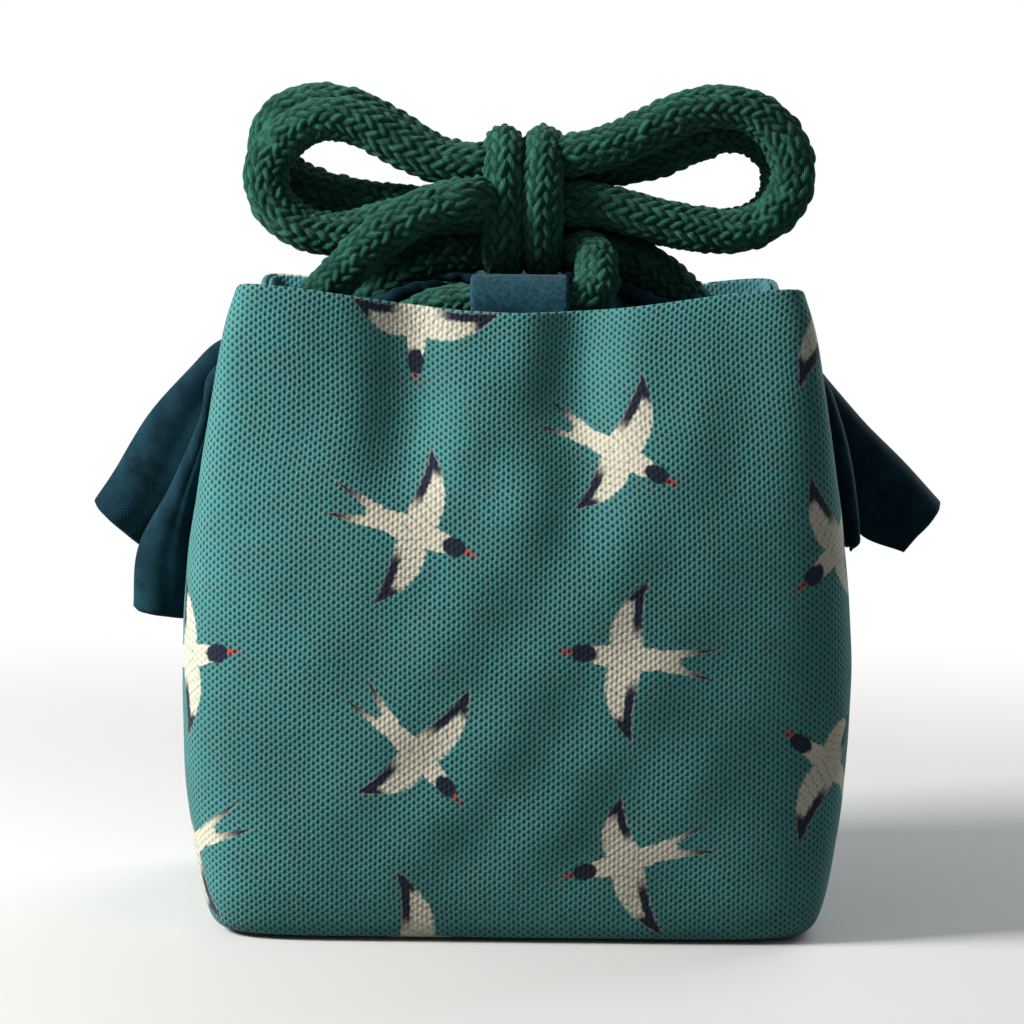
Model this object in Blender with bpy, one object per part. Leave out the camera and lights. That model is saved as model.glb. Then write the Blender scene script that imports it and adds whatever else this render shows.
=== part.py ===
"""A padded drawstring pouch for a teacup, in metres, +Z up, its front facing -Y.

The body is a soft square bag in layers: printed canvas outside, wadding, then a lining,
each cut as a front and a back half that meet at the two side seams, over a square base
with a stiff board. Inside the rim a dark collar leans in over the mouth, and at each side
it folds over the rim and hangs out as an ear of two leaves. A felt tab stands in the
middle of the front rim and one in the back rim, a doubled cotton cord runs through them,
and it is tied above the mouth in a bow whose knot and loops are separate pieces.
"""

import math

import bpy
import bmesh
import numpy as np
from mathutils import Vector

MM = 0.001

# Body
POUCH_WIDTH = 111 * MM
POUCH_DEPTH = 92 * MM
RIM_HEIGHT = 107 * MM
SQUARENESS_SHARE = 9.0
RIM_SQUARENESS_SHARE = 16.0
FACE_BULGE = 4.5 * MM
FULL_BELLY_SHARE = 0.3
RIM_FLATTENING_SHARE = 0.5
CANVAS = 1.0 * MM
WADDING = 2.5 * MM
LINING = 0.8 * MM
GAP = 0.3 * MM
BASE_LIFT = 0.3 * MM
BOARD = 1.2 * MM
# Each row is a share of half the width and of the height, from the base edge to the rim.
PROFILE_SHARES = (
    (0.822, 0.000),
    (0.893, 0.009),
    (0.929, 0.048),
    (0.960, 0.130),
    (0.988, 0.240),
    (1.000, 0.400),
    (0.984, 0.570),
    (0.948, 0.720),
    (0.915, 0.830),
    (0.880, 0.935),
    (0.843, 1.000),
)
SEAM_ROW_SHARE = 8.0
WADDING_ROW_SHARE = 9.0
LIP_ROW_SHARE = 9.5
RIM_ROW_SHARE = 10.0
# Degrees from a side seam where a corner of the square starts and ends its turn.
CORNER_START_DEG = 34
CORNER_END_DEG = 56
SMOOTH_SHADING_DEG = 50
# A small step, in rows and in radians, used to read a surface's slope.
SLOPE_STEP_SHARE = 1e-4

# Mouth, drawn in by the cord
PULL_START_SHARE = 0.55
FRONT_PULL = 5.7 * MM
SIDE_PULL = 3.9 * MM
FRONT_DIP = 4.5 * MM
SIDE_DIP = 13.0 * MM
DRAPE_FOLD = 1.3 * MM
DRAPE_PITCH = 28.6 * MM
DRAPE_RIDGE_X = -4.3 * MM

# Cord, knot and tabs
CORD_DIAMETER = 7.5 * MM
TAB_WIDTH = 16.2 * MM
FELT = 1.4 * MM
KNOT_HEIGHT = 25.6 * MM
KNOT_DEPTH = 22.5 * MM
KNOT_RISE = 13.5 * MM
KNOT_CENTRE = (0.3 * MM, -9.0 * MM, RIM_HEIGHT + KNOT_RISE)
LOOP_AXIS_RISE = 7.6 * MM
WRAP_PITCH = 8.0 * MM
WRAP_TURN_DEG = (75, 645)
WRAP_CROSSING_DEG = (285, 435)
WRAP_POINTS = 49
NEIGHBOUR_SHARE = 2.5
TAB_TAIL_ROW_SHARES = (8.5, 9.0, 9.4)
TAB_RING_DEG = (190, -70)

# Collar
COLLAR_CLOTH = 1.2 * MM
COLLAR_HALF_WIDTH = 29.5 * MM
COLLAR_TOP_DROP = 7.0 * MM
COLLAR_BELLY = 5.0 * MM
COLLAR_SWELL = 4.0 * MM
COLLAR_TOP_DEPTH = 14.5 * MM
COLLAR_ROOT_ROW_SHARE = 7.4
COLLAR_LEAN_SHARE = 0.35
HEM_DIAMETER = 2.4 * MM
SKIRT_ROWS_SHARE = 0.2
CROWN_LIFT_SHARE = 1.2

# Ears
EAR_CLOTH = 1.2 * MM
EAR_REACH = 27.8 * MM
EAR_DROP = 36.0 * MM
EAR_SPREAD = 4.0 * MM
EAR_ROOT_SPREAD_SHARE = 0.45
LEAF_PLACE = 17.0 * MM

# Joint axes
BOW_AXIS_DROP = 1.0 * MM
EAR_AXIS_RISE = 2.0 * MM
EAR_AXIS_CLEAR = 2.7 * MM
EAR_AXIS_HEIGHT = RIM_HEIGHT - SIDE_DIP + EAR_AXIS_RISE
EAR_AXIS_REACH = POUCH_WIDTH / 2 * PROFILE_SHARES[-1][0] - SIDE_PULL + EAR_AXIS_CLEAR

# Colours (linear) and finishes
CANVAS_TEAL = (0.055, 0.235, 0.225, 1.0)
WADDING_CREAM = (0.62, 0.58, 0.48, 1.0)
LINING_TEAL = (0.05, 0.21, 0.24, 1.0)
BOARD_GREY = (0.25, 0.24, 0.22, 1.0)
COLLAR_BLUE = (0.022, 0.075, 0.105, 1.0)
FELT_BLUE = (0.028, 0.095, 0.135, 1.0)
CORD_GREEN = (0.012, 0.13, 0.075, 1.0)


def clear_scene():
    for obj in list(bpy.data.objects):
        bpy.data.objects.remove(obj, do_unlink=True)


def finish(name, colour, roughness):
    """A plain matt material."""
    material = bpy.data.materials.new(name)
    material.use_nodes = True
    shader = material.node_tree.nodes["Principled BSDF"]
    shader.inputs["Base Color"].default_value = colour
    shader.inputs["Roughness"].default_value = roughness
    shader.inputs["Metallic"].default_value = 0.0
    material.diffuse_color = colour
    return material


def place(obj, material, pivot=None):
    """Links an object, gives it its material and hangs it on its joint's empty."""
    bpy.context.collection.objects.link(obj)
    obj.data.materials.append(material)
    if pivot is not None:
        obj.parent = pivot
    return obj


def pivot_at(name, position, parent=None):
    """An empty on a joint's axis."""
    pivot = bpy.data.objects.new(name, None)
    pivot.empty_display_size = CORD_DIAMETER
    bpy.context.collection.objects.link(pivot)
    pivot["world_position"] = position
    origin = Vector(parent["world_position"]) if parent else Vector((0.0, 0.0, 0.0))
    pivot.location = Vector(position) - origin
    pivot.parent = parent
    return pivot


def pivot_origin(pivot):
    return np.array(pivot["world_position"]) if pivot else np.zeros(3)


def mesh_object(name, points, faces, material, pivot=None, smooth=True):
    """A closed mesh from its points and faces, with its normals turned outwards."""
    mesh = bpy.data.meshes.new(name)
    mesh.from_pydata((points - pivot_origin(pivot)).tolist(), [], faces)
    shape = bmesh.new()
    shape.from_mesh(mesh)
    bmesh.ops.recalc_face_normals(shape, faces=shape.faces)
    shape.to_mesh(mesh)
    shape.free()
    if smooth:
        mesh.shade_smooth()
        mesh.set_sharp_from_angle(angle=math.radians(SMOOTH_SHADING_DEG))
    return place(bpy.data.objects.new(name, mesh), material, pivot)


def smooth_curve(points, places):
    """Points on a Catmull-Rom curve, read at places counted in the given points."""
    points = np.asarray(points, float)
    before = 2 * points[0] - points[1]
    after = 2 * points[-1] - points[-2]
    padded = np.vstack([before, points, after])
    start = np.clip(np.floor(places).astype(int), 0, len(points) - 2)
    t = (places - start)[:, None]
    a, b, c, d = (padded[start + step] for step in range(4))
    even = 2 * b + (c - a) * t
    bend = (2 * a - 5 * b + 4 * c - d) * t**2 + (3 * b - a - 3 * c + d) * t**3
    return (even + bend) / 2


def ease(low, high, value):
    """0 below low, 1 above high, smooth between."""
    t = np.clip((value - low) / (high - low), 0.0, 1.0)
    return t * t * (3 - 2 * t)


def body_surface(angles, rows):
    """The bag's outer surface on a grid of rows (up) by angles (round, from +X).

    A level is a square with round corners, from the polar form of a superellipse, with a
    front and a back that swell towards their middle. Towards the rim the corners get
    sharper, and the middle of each side leans in and sinks, so that the corners stand up.
    Soft folds run down from the tabs.
    """
    width_share, height_share = smooth_curve(PROFILE_SHARES, rows).T[:, :, None]
    drawn = ease(PULL_START_SHARE, 1.0, height_share)
    power = SQUARENESS_SHARE + (RIM_SQUARENESS_SHARE - SQUARENESS_SHARE) * drawn
    cosine, sine = np.cos(angles)[None, :], np.sin(angles)[None, :]
    reach = (abs(cosine) ** power + abs(sine) ** power) ** (-1 / power)
    across, along = reach * cosine, reach * sine
    x = POUCH_WIDTH / 2 * width_share * across
    plump = ease(0, FULL_BELLY_SHARE, height_share) * (1 - RIM_FLATTENING_SHARE * drawn)
    y = (POUCH_DEPTH / 2 * width_share - FACE_BULGE * plump * across**2) * along
    z = BASE_LIFT + (RIM_HEIGHT - BASE_LIFT) * height_share + 0 * across
    face_middle = np.clip(1 - across**2, 0, 1) ** 2
    side_middle = np.clip(1 - along**2, 0, 1) ** 2
    facing_x = np.where(along < 0, x, -x)
    fold = DRAPE_FOLD * np.cos(2 * math.pi * (facing_x - DRAPE_RIDGE_X) / DRAPE_PITCH)
    y = y - along * face_middle * (FRONT_PULL - fold) * drawn
    x = x - across * side_middle * SIDE_PULL * drawn
    sunk = FRONT_DIP * face_middle * abs(along) + SIDE_DIP * side_middle * abs(across)
    return np.stack([x, y, z - sunk * drawn], axis=-1)


def body_layer(angles, rows, depth):
    """The surface that lies depth inside the bag's outer one, measured square to it."""
    step = SLOPE_STEP_SHARE
    rows = np.asarray(rows, float)
    inner_rows = np.clip(rows, step, RIM_ROW_SHARE - step)
    round_way = body_surface(angles + step, rows) - body_surface(angles - step, rows)
    up_way = body_surface(angles, inner_rows + step) - body_surface(angles, inner_rows - step)
    normal = np.cross(round_way, up_way)
    normal /= np.linalg.norm(normal, axis=-1, keepdims=True)
    normal[rows == 0] = (0.0, 0.0, -1.0)
    depth = np.broadcast_to(depth, rows.shape)
    return body_surface(angles, rows) - normal * depth[:, None, None]


def half_angles(first_degrees):
    """Angles of one half of the bag, closer together round its two corners."""
    seam = math.degrees(math.atan2(GAP / 2, POUCH_WIDTH / 2))
    quarter = np.concatenate(
        [
            np.linspace(seam, CORNER_START_DEG, 4),
            np.linspace(CORNER_START_DEG, CORNER_END_DEG, 6)[1:],
            np.linspace(CORNER_END_DEG, 180 - CORNER_END_DEG, 8)[1:4],
        ]
    )
    return np.radians(first_degrees + np.concatenate([quarter, 180 - quarter[::-1]]))


HALVES = {"front": half_angles(180), "back": half_angles(0)}


def sheet_solid(name, outer, inner, material, pivot=None):
    """A closed solid between two grids of points of one size, outer and inner."""
    rows, columns = outer.shape[:2]
    index = np.arange(rows * columns).reshape(rows, columns)
    corners = (index[:-1, :-1], index[:-1, 1:], index[1:, 1:], index[1:, :-1])
    halves = [np.stack([corners[i] for i in picked], -1) for picked in ((0, 1, 2), (0, 2, 3))]
    skin = np.concatenate([half.reshape(-1, 3) for half in halves])
    faces = skin.tolist() + (skin[:, ::-1] + rows * columns).tolist()
    rim = np.concatenate([index[0, :-1], index[:-1, -1], index[-1, :0:-1], index[:0:-1, 0]])
    for a, b in zip(rim, np.roll(rim, -1)):
        faces.append([int(b), int(a), int(a) + rows * columns, int(b) + rows * columns])
    points = np.concatenate([outer.reshape(-1, 3), inner.reshape(-1, 3)])
    return mesh_object(name, points, faces, material, pivot)


def body_sheet(name, half, rows, depth, thickness, material):
    """One layer of one half of the bag."""
    angles = HALVES[half]
    outer = body_layer(angles, rows, depth)
    inner = body_layer(angles, rows, np.asarray(depth) + thickness)
    return sheet_solid(name, outer, inner, material)


WADDING_DEPTH = CANVAS + GAP
LINING_DEPTH = WADDING_DEPTH + WADDING + GAP
SEAM_SLIT_SHARE = GAP / (RIM_HEIGHT * (PROFILE_SHARES[9][1] - PROFILE_SHARES[8][1]))
FACING_ROW_SHARES = np.array([SEAM_ROW_SHARE, WADDING_ROW_SHARE, LIP_ROW_SHARE, RIM_ROW_SHARE])


def facing_depth_at(rows):
    """The facing lies over the wadding, and above it closes up to the outer canvas."""
    return np.interp(rows, (WADDING_ROW_SHARE, RIM_ROW_SHARE), (LINING_DEPTH, WADDING_DEPTH))


def build_walls(canvas, wadding, lining):
    """Canvas, wadding and lining of each half, and the canvas facing inside the rim."""
    all_rows = np.arange(RIM_ROW_SHARE + 1)
    wadding_rows = np.arange(WADDING_ROW_SHARE + 1)
    lining_rows = np.arange(SEAM_ROW_SHARE + 1)
    lining_rows[-1] -= SEAM_SLIT_SHARE
    facing_depth = facing_depth_at(FACING_ROW_SHARES)
    for half in HALVES:
        body_sheet("outer_" + half, half, all_rows, 0.0, CANVAS, canvas)
        body_sheet("wadding_" + half, half, wadding_rows, WADDING_DEPTH, WADDING, wadding)
        body_sheet("lining_" + half, half, lining_rows, LINING_DEPTH, LINING, lining)
        body_sheet("facing_" + half, half, FACING_ROW_SHARES, facing_depth, LINING, canvas)


def build_base(canvas, wadding, board, lining):
    """Four square plates, one on another, inside the outline where the walls turn under."""
    angles = np.concatenate([HALVES["back"], HALVES["front"]])
    outline = body_surface(angles, np.array([0.0]))[0]
    half_size = np.abs(outline).max(axis=0)[:2]
    outline = outline[:, :2] * (1 - GAP / half_size)
    level = 0.0
    plates = (
        ("outer_base", CANVAS, canvas),
        ("wadding_base", WADDING, wadding),
        ("base_board", BOARD, board),
        ("lining_base", LINING, lining),
    )
    for name, thickness, material in plates:
        low = np.column_stack([outline, np.full(len(outline), level)])
        high = np.column_stack([outline, np.full(len(outline), level + thickness)])
        count = len(outline)
        faces = [list(range(count))[::-1], list(range(count, 2 * count))]
        faces += [[i, (i + 1) % count, (i + 1) % count + count, i + count] for i in range(count)]
        mesh_object(name, np.concatenate([low, high]), faces, material)
        level += thickness + GAP


def offset_sheet(name, middle, thickness, material, pivot=None):
    """A solid of even thickness about a grid of points on its middle surface."""
    along_rows = np.gradient(middle, axis=0)
    along_columns = np.gradient(middle, axis=1)
    normal = np.cross(along_columns, along_rows)
    normal /= np.linalg.norm(normal, axis=-1, keepdims=True)
    half = normal * thickness / 2
    return sheet_solid(name, middle + half, middle - half, material, pivot)


def turned(points, half):
    """Points worked out for the front, or turned half round for the back."""
    return points if half == "front" else points * np.array([-1.0, -1.0, 1.0])


def front_angle_at(x_share):
    """The angle on the front face for a place given as a share of half its width."""
    return 1.5 * math.pi + np.arctan(x_share)


def collar_top_at(x):
    """Height of the collar's edge: low under the knot, higher at each side of it."""
    return RIM_HEIGHT - COLLAR_TOP_DROP + COLLAR_SWELL * np.sin(math.pi * x / COLLAR_HALF_WIDTH) ** 2


def collar_edge(columns):
    x = np.linspace(-COLLAR_HALF_WIDTH, COLLAR_HALF_WIDTH, columns)
    return np.column_stack([x, np.full(columns, -COLLAR_TOP_DEPTH), collar_top_at(x)])


def build_collar(cloth, half):
    """The leaning cloth on one side of the mouth, and the hem cord along its top edge."""
    columns, rows = 17, 6
    top = collar_edge(columns)
    share = top[:, 0] / (POUCH_WIDTH / 2 * PROFILE_SHARES[7][0])
    root_depth = LINING_DEPTH + LINING + GAP + COLLAR_CLOTH / 2
    root = body_layer(front_angle_at(share), np.array([COLLAR_ROOT_ROW_SHARE]), root_depth)[0]
    belly = root * [1, 0, 0] + np.array([0, -COLLAR_TOP_DEPTH, 0]) + [0, 0, 1] * root
    belly[:, 1] += (root[:, 1] + COLLAR_TOP_DEPTH) * COLLAR_LEAN_SHARE
    belly[:, 2] += COLLAR_BELLY
    up = np.linspace(0, 1, rows)[:, None, None]
    middle = (1 - up) ** 2 * root + 2 * up * (1 - up) * belly + up**2 * top
    offset_sheet("collar_" + half, turned(middle, half), COLLAR_CLOTH, cloth)
    hem = top + [0, 0, COLLAR_CLOTH / 2 + GAP + HEM_DIAMETER / 2]
    tube("collar_hem_" + half, turned(hem[::2], half), HEM_DIAMETER, cloth, refine=1)


def build_saddle(cloth, side_name, side):
    """Collar cloth that climbs inside the side wall, folds over its rim and ends just outside."""
    steps = HALVES["back"][1:3]
    angle = np.concatenate([-steps[::-1], [0.0], steps]) + (0 if side > 0 else math.pi)
    inside_rows = np.array(
        [COLLAR_ROOT_ROW_SHARE, SEAM_ROW_SHARE, WADDING_ROW_SHARE, LIP_ROW_SHARE]
    )
    clear = GAP + COLLAR_CLOTH / 2
    inside = body_layer(angle, inside_rows, facing_depth_at(inside_rows) + LINING + clear)
    rim_row = np.array([RIM_ROW_SHARE])
    inner_lip = body_layer(angle, rim_row, WADDING_DEPTH + LINING + clear)[0]
    outer_lip = body_layer(angle, rim_row, -clear)[0]
    skirt = body_layer(angle, rim_row - SKIRT_ROWS_SHARE, -clear)[0]
    upward = outer_lip - skirt
    upward /= np.linalg.norm(upward, axis=1, keepdims=True)
    crown = (inner_lip + outer_lip) / 2 + upward * (clear + COLLAR_CLOTH)
    lift = upward * clear * CROWN_LIFT_SHARE
    middle = np.concatenate([inside, [inner_lip + lift, crown, outer_lip + lift, skirt]])
    offset_sheet("collar_" + side_name, middle, COLLAR_CLOTH, cloth)


def tube(name, route, diameter, material, pivot=None, refine=3, sides=2):
    """A round cord along a smooth curve through the route's points."""
    places = np.linspace(0, len(route) - 1, (len(route) - 1) * refine + 1)
    points = smooth_curve(route, places) - pivot_origin(pivot)
    curve = bpy.data.curves.new(name, "CURVE")
    curve.dimensions = "3D"
    curve.bevel_depth = diameter / 2
    curve.bevel_resolution = sides
    curve.use_fill_caps = True
    spline = curve.splines.new("POLY")
    spline.points.add(len(points) - 1)
    for point, position in zip(spline.points, points):
        point.co = (*position, 1.0)
    return place(bpy.data.objects.new(name, curve), material, pivot)


# Routes of the cord, in millimetres, with heights from the rim. The front strand starts at the
# knot's left side, turns in the mouth's left corner, runs through the front tab and comes back
# up to the knot.
KNOT_SIDE = WRAP_PITCH / 2 + CORD_DIAMETER / 2 + GAP
FRONT_STRAND_MM = (
    (-9.2, -20.0, 13.7),
    (-14.2, -20.4, 12.6),
    (-19.5, -21.0, 10.0),
    (-25.0, -21.6, 5.8),
    (-30.5, -22.6, 0.2),
    (-35.2, -23.8, -4.8),
    (-37.4, -25.0, -9.2),
    (-34.0, -26.4, -13.2),
    (-27.0, -27.0, -11.8),
    (-20.0, -26.0, -8.0),
    (-14.4, -24.8, -5.0),
    (-9.4, -24.2, -4.0),
    (0.0, -24.2, -4.0),
    (6.0, -24.2, -4.0),
    (10.4, -23.9, -3.4),
    (12.4, -21.9, -0.7),
    (12.7, -18.6, 2.4),
    (12.2, -14.8, 4.4),
)
BACK_STRAND_MM = (
    (-8.0, -8.6, 5.2),
    (-13.6, -8.3, 4.2),
    (-19.5, -7.3, 1.4),
    (-26.0, -3.8, -3.4),
    (-32.4, 3.4, -7.4),
    (-35.6, 13.0, -9.6),
    (-33.4, 21.6, -10.0),
    (-26.0, 26.0, -9.2),
    (-17.0, 25.2, -6.0),
    (-9.4, 24.2, -4.0),
    (0.0, 24.2, -4.0),
    (9.4, 24.2, -4.0),
    (17.0, 25.2, -6.0),
    (26.0, 26.0, -9.2),
    (33.4, 21.6, -10.0),
    (35.6, 13.0, -9.6),
    (33.0, 3.8, -7.8),
    (27.8, -3.4, -3.2),
    (21.4, -6.0, 1.6),
    (14.8, -6.4, 3.4),
    (8.6, -6.2, 3.8),
)
LEFT_FRONT_LOOP_MM = (
    (-8.0, -12.4, 19.4),
    (-14.0, -12.4, 20.0),
    (-20.0, -12.4, 22.6),
    (-26.5, -12.4, 25.8),
    (-32.6, -12.4, 26.8),
    (-38.6, -12.4, 24.4),
    (-42.6, -12.4, 19.2),
    (-41.8, -12.4, 13.0),
    (-37.4, -12.4, 9.0),
    (-31.0, -12.4, 7.6),
    (-23.4, -12.4, 9.2),
    (-15.0, -12.4, 11.4),
    (-8.0, -12.4, 11.6),
)
LEFT_REAR_LOOP_MM = (
    (-8.0, -4.6, 19.6),
    (-14.0, -4.6, 20.6),
    (-20.6, -4.6, 24.2),
    (-28.0, -4.6, 28.2),
    (-35.4, -4.6, 29.4),
    (-41.0, -4.6, 26.8),
    (-42.6, -4.6, 21.8),
    (-39.6, -4.6, 17.2),
    (-33.0, -4.6, 14.4),
    (-24.0, -4.6, 12.6),
    (-15.0, -4.6, 11.8),
    (-8.0, -4.6, 11.6),
)
RIGHT_FRONT_LOOP_MM = (
    (8.6, -12.4, 21.2),
    (15.0, -12.4, 22.8),
    (21.0, -12.4, 25.4),
    (27.4, -12.4, 28.4),
    (34.2, -12.4, 29.6),
    (40.4, -12.4, 27.6),
    (44.6, -12.4, 22.6),
    (45.4, -12.4, 16.6),
    (42.0, -12.4, 11.2),
    (36.0, -12.4, 8.8),
    (29.0, -12.4, 9.2),
    (21.4, -12.4, 10.8),
    (14.6, -12.4, 12.6),
    (8.6, -12.4, 13.2),
)
RIGHT_REAR_LOOP_MM = (
    (8.6, -4.6, 19.6),
    (15.6, -4.6, 19.8),
    (22.4, -4.6, 21.2),
    (28.6, -4.6, 23.6),
    (35.0, -4.6, 25.6),
    (40.6, -4.6, 24.2),
    (44.2, -4.6, 19.6),
    (43.6, -4.6, 13.8),
    (39.6, -4.6, 10.0),
    (33.6, -4.6, 8.8),
    (26.0, -4.6, 9.6),
    (16.4, -4.6, 11.4),
    (8.6, -4.6, 11.8),
)


def from_rim(points_mm):
    """Points of a cord's route, whose heights are given from the rim."""
    return np.array(points_mm) * MM + [0.0, 0.0, RIM_HEIGHT]


def build_cords(cord, left_pivot, right_pivot):
    """The two strands that run through the tabs, and the bow's four loop strands."""
    tube("front_cord_strand", from_rim(FRONT_STRAND_MM), CORD_DIAMETER, cord)
    tube("back_cord_strand", from_rim(BACK_STRAND_MM), CORD_DIAMETER, cord, refine=2)
    loops = (
        ("left_loop_front_strand", LEFT_FRONT_LOOP_MM, left_pivot),
        ("left_loop_rear_strand", LEFT_REAR_LOOP_MM, left_pivot),
        ("right_loop_front_strand", RIGHT_FRONT_LOOP_MM, right_pivot),
        ("right_loop_rear_strand", RIGHT_REAR_LOOP_MM, right_pivot),
    )
    for name, route, pivot in loops:
        tube(name, from_rim(route), CORD_DIAMETER, cord, pivot, refine=2)


def wrap_route():
    """The knot's wrap: two turns side by side in front, crossing over behind.

    The angle runs from behind over the top to the front. The sideways place changes from
    the left turn to the right one while the strand is behind the knot.
    """
    angle = np.linspace(*WRAP_TURN_DEG, WRAP_POINTS)
    across = WRAP_PITCH * ease(*WRAP_CROSSING_DEG, angle) - WRAP_PITCH / 2
    angle = np.radians(angle)
    high = (KNOT_HEIGHT - CORD_DIAMETER) / 2
    deep = (KNOT_DEPTH - CORD_DIAMETER) / 2
    centre_x, centre_y, centre_z = KNOT_CENTRE
    return np.column_stack(
        [centre_x + across, centre_y + deep * np.cos(angle), centre_z + high * np.sin(angle)]
    )


def least_gap(route, diameter):
    """The least clear distance of a tube to itself, its neighbouring points left out."""
    steps = np.linalg.norm(np.diff(route, axis=0), axis=1)
    run = np.concatenate([[0], np.cumsum(steps)])
    apart = np.linalg.norm(route[:, None] - route[None, :], axis=2)
    apart[abs(run[:, None] - run[None, :]) < NEIGHBOUR_SHARE * diameter] = np.inf
    return apart.min() - diameter


def build_knot(cord, pivot):
    """The wrap that holds the bow, and the squeezed strands inside it as one core."""
    route = wrap_route()
    clear = least_gap(route, CORD_DIAMETER) / MM
    print("least gap of the knot's wrap to itself: %.2f mm" % clear)
    tube("bow_knot_wrap", route, CORD_DIAMETER, cord, pivot, refine=1)
    sides = 16
    around = np.linspace(0, 2 * math.pi, sides, endpoint=False)
    high = KNOT_HEIGHT / 2 - CORD_DIAMETER - GAP
    deep = KNOT_DEPTH / 2 - CORD_DIAMETER - GAP
    centre_x, centre_y, centre_z = KNOT_CENTRE
    half_length = WRAP_PITCH / 2 + CORD_DIAMETER / 2
    rings = []
    for end in (-half_length, half_length):
        x = np.full(sides, centre_x + end)
        y = centre_y + deep * np.cos(around)
        rings.append(np.column_stack([x, y, centre_z + high * np.sin(around)]))
    faces = [list(range(sides)), list(range(sides, 2 * sides))]
    faces += [[i, (i + 1) % sides, (i + 1) % sides + sides, i + sides] for i in range(sides)]
    mesh_object("bow_knot_core", np.concatenate(rings), faces, cord, pivot)


def tab_path():
    """The felt strip's middle line in the plane across the tab.

    It climbs the facing, goes round the cord and comes back down beside itself. The cord's
    place there is the point of its route that lies nearest to the middle of the pouch.
    """
    in_tab = min(from_rim(FRONT_STRAND_MM), key=lambda point: abs(point[0]))
    rows = np.array(TAB_TAIL_ROW_SHARES)
    depth = facing_depth_at(rows) + LINING + GAP + FELT / 2
    across = front_angle_at(np.linspace(-1, 1, 7) * TAB_WIDTH / POUCH_WIDTH)
    facing = body_layer(across, rows, depth)
    tail = np.column_stack([facing[:, :, 1].max(axis=1), facing[:, :, 2].mean(axis=1)])
    radius = CORD_DIAMETER / 2 + GAP + FELT / 2
    centre = in_tab[1:]
    turn = np.radians(np.linspace(*TAB_RING_DEG, 14))
    ring = centre + radius * np.column_stack([np.cos(turn), np.sin(turn)])
    back = tail[::-1] + [FELT + GAP, 0.0]
    return np.vstack([tail, ring, back[1:]])


def build_tab(felt, half):
    """A felt strip folded over the cord, both ends sewn down inside the rim."""
    path = tab_path()
    way = np.gradient(path, axis=0)
    way /= np.linalg.norm(way, axis=1, keepdims=True)
    side = np.column_stack([-way[:, 1], way[:, 0]]) * FELT / 2
    left, right = path + side, path - side
    sheets = []
    for line in (left, right):
        ends = [np.insert(line, 0, x, axis=1) for x in (-TAB_WIDTH / 2, TAB_WIDTH / 2)]
        sheets.append(turned(np.stack(ends, axis=1), half))
    sheet_solid(half + "_tab", sheets[0], sheets[1], felt)


# A leaf's edges, as shares of its reach from the hinge and of its drop below it. Each row
# gives the outer edge, then the inner edge, from the hinge to the hem.
LEAF_SHARES = {
    "left_ear_rear_leaf": (
        ((0.00, 0.00), (0.00, 0.09)),
        ((0.22, 0.02), (0.18, 0.27)),
        ((0.41, 0.16), (0.28, 0.45)),
        ((0.66, 0.38), (0.36, 0.65)),
        ((0.87, 0.65), (0.49, 0.84)),
        ((1.00, 0.80), (0.71, 1.00)),
    ),
    "left_ear_front_leaf": (
        ((0.00, 0.03), (0.00, 0.12)),
        ((0.23, 0.15), (0.19, 0.33)),
        ((0.28, 0.34), (0.30, 0.60)),
        ((0.46, 0.67), (0.38, 0.82)),
        ((0.66, 0.97), (0.40, 1.06)),
        ((0.69, 1.26), (0.41, 1.30)),
    ),
    "right_ear_rear_leaf": (
        ((0.00, 0.01), (0.00, 0.10)),
        ((0.15, 0.07), (0.18, 0.30)),
        ((0.30, 0.20), (0.28, 0.48)),
        ((0.52, 0.39), (0.37, 0.68)),
        ((0.76, 0.57), (0.49, 0.90)),
        ((1.00, 0.77), (0.77, 0.99)),
    ),
    "right_ear_front_leaf": (
        ((0.00, 0.03), (0.00, 0.12)),
        ((0.20, 0.14), (0.17, 0.33)),
        ((0.30, 0.32), (0.25, 0.50)),
        ((0.37, 0.52), (0.31, 0.66)),
        ((0.41, 0.72), (0.36, 0.80)),
        ((0.43, 0.90), (0.39, 0.95)),
    ),
}
LEAF_LEVEL_SHARES = {"rear": 0.38, "front": -0.52}


def build_leaf(name, cloth, pivot, side):
    """Cloth folded double: its fold is the outer edge, and its two plies part inwards."""
    rows, columns = 10, 9
    shares = np.array(LEAF_SHARES[name])
    down = np.linspace(0, len(shares) - 1, rows)
    edges = smooth_curve(shares.reshape(len(shares), 4), down).reshape(rows, 2, 2)
    ply = np.linspace(-1, 1, columns)
    inward = abs(ply)[None, :, None]
    flat = edges[:, :1] * (1 - inward) + edges[:, 1:] * inward
    spread = EAR_SPREAD * np.linspace(EAR_ROOT_SPREAD_SHARE, 1, rows)[:, None]
    level = LEAF_LEVEL_SHARES[name.split("_")[2]] * LEAF_PLACE
    x = side * (EAR_AXIS_REACH + EAR_REACH * flat[:, :, 0])
    y = level + spread * np.sin(ply * math.pi / 2)[None, :]
    z = EAR_AXIS_HEIGHT - EAR_DROP * flat[:, :, 1]
    offset_sheet(name, np.stack([x, y, z], axis=-1), EAR_CLOTH, cloth, pivot)


def build_ears(cloth):
    """Two leaves at each side, hinged along the fold over the side rim."""
    for side_name, side in (("left", -1), ("right", 1)):
        pivot = pivot_at(side_name + "_ear_axis", (side * EAR_AXIS_REACH, 0.0, EAR_AXIS_HEIGHT))
        for leaf in LEAF_LEVEL_SHARES:
            build_leaf(side_name + "_ear_" + leaf + "_leaf", cloth, pivot, side)


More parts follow.
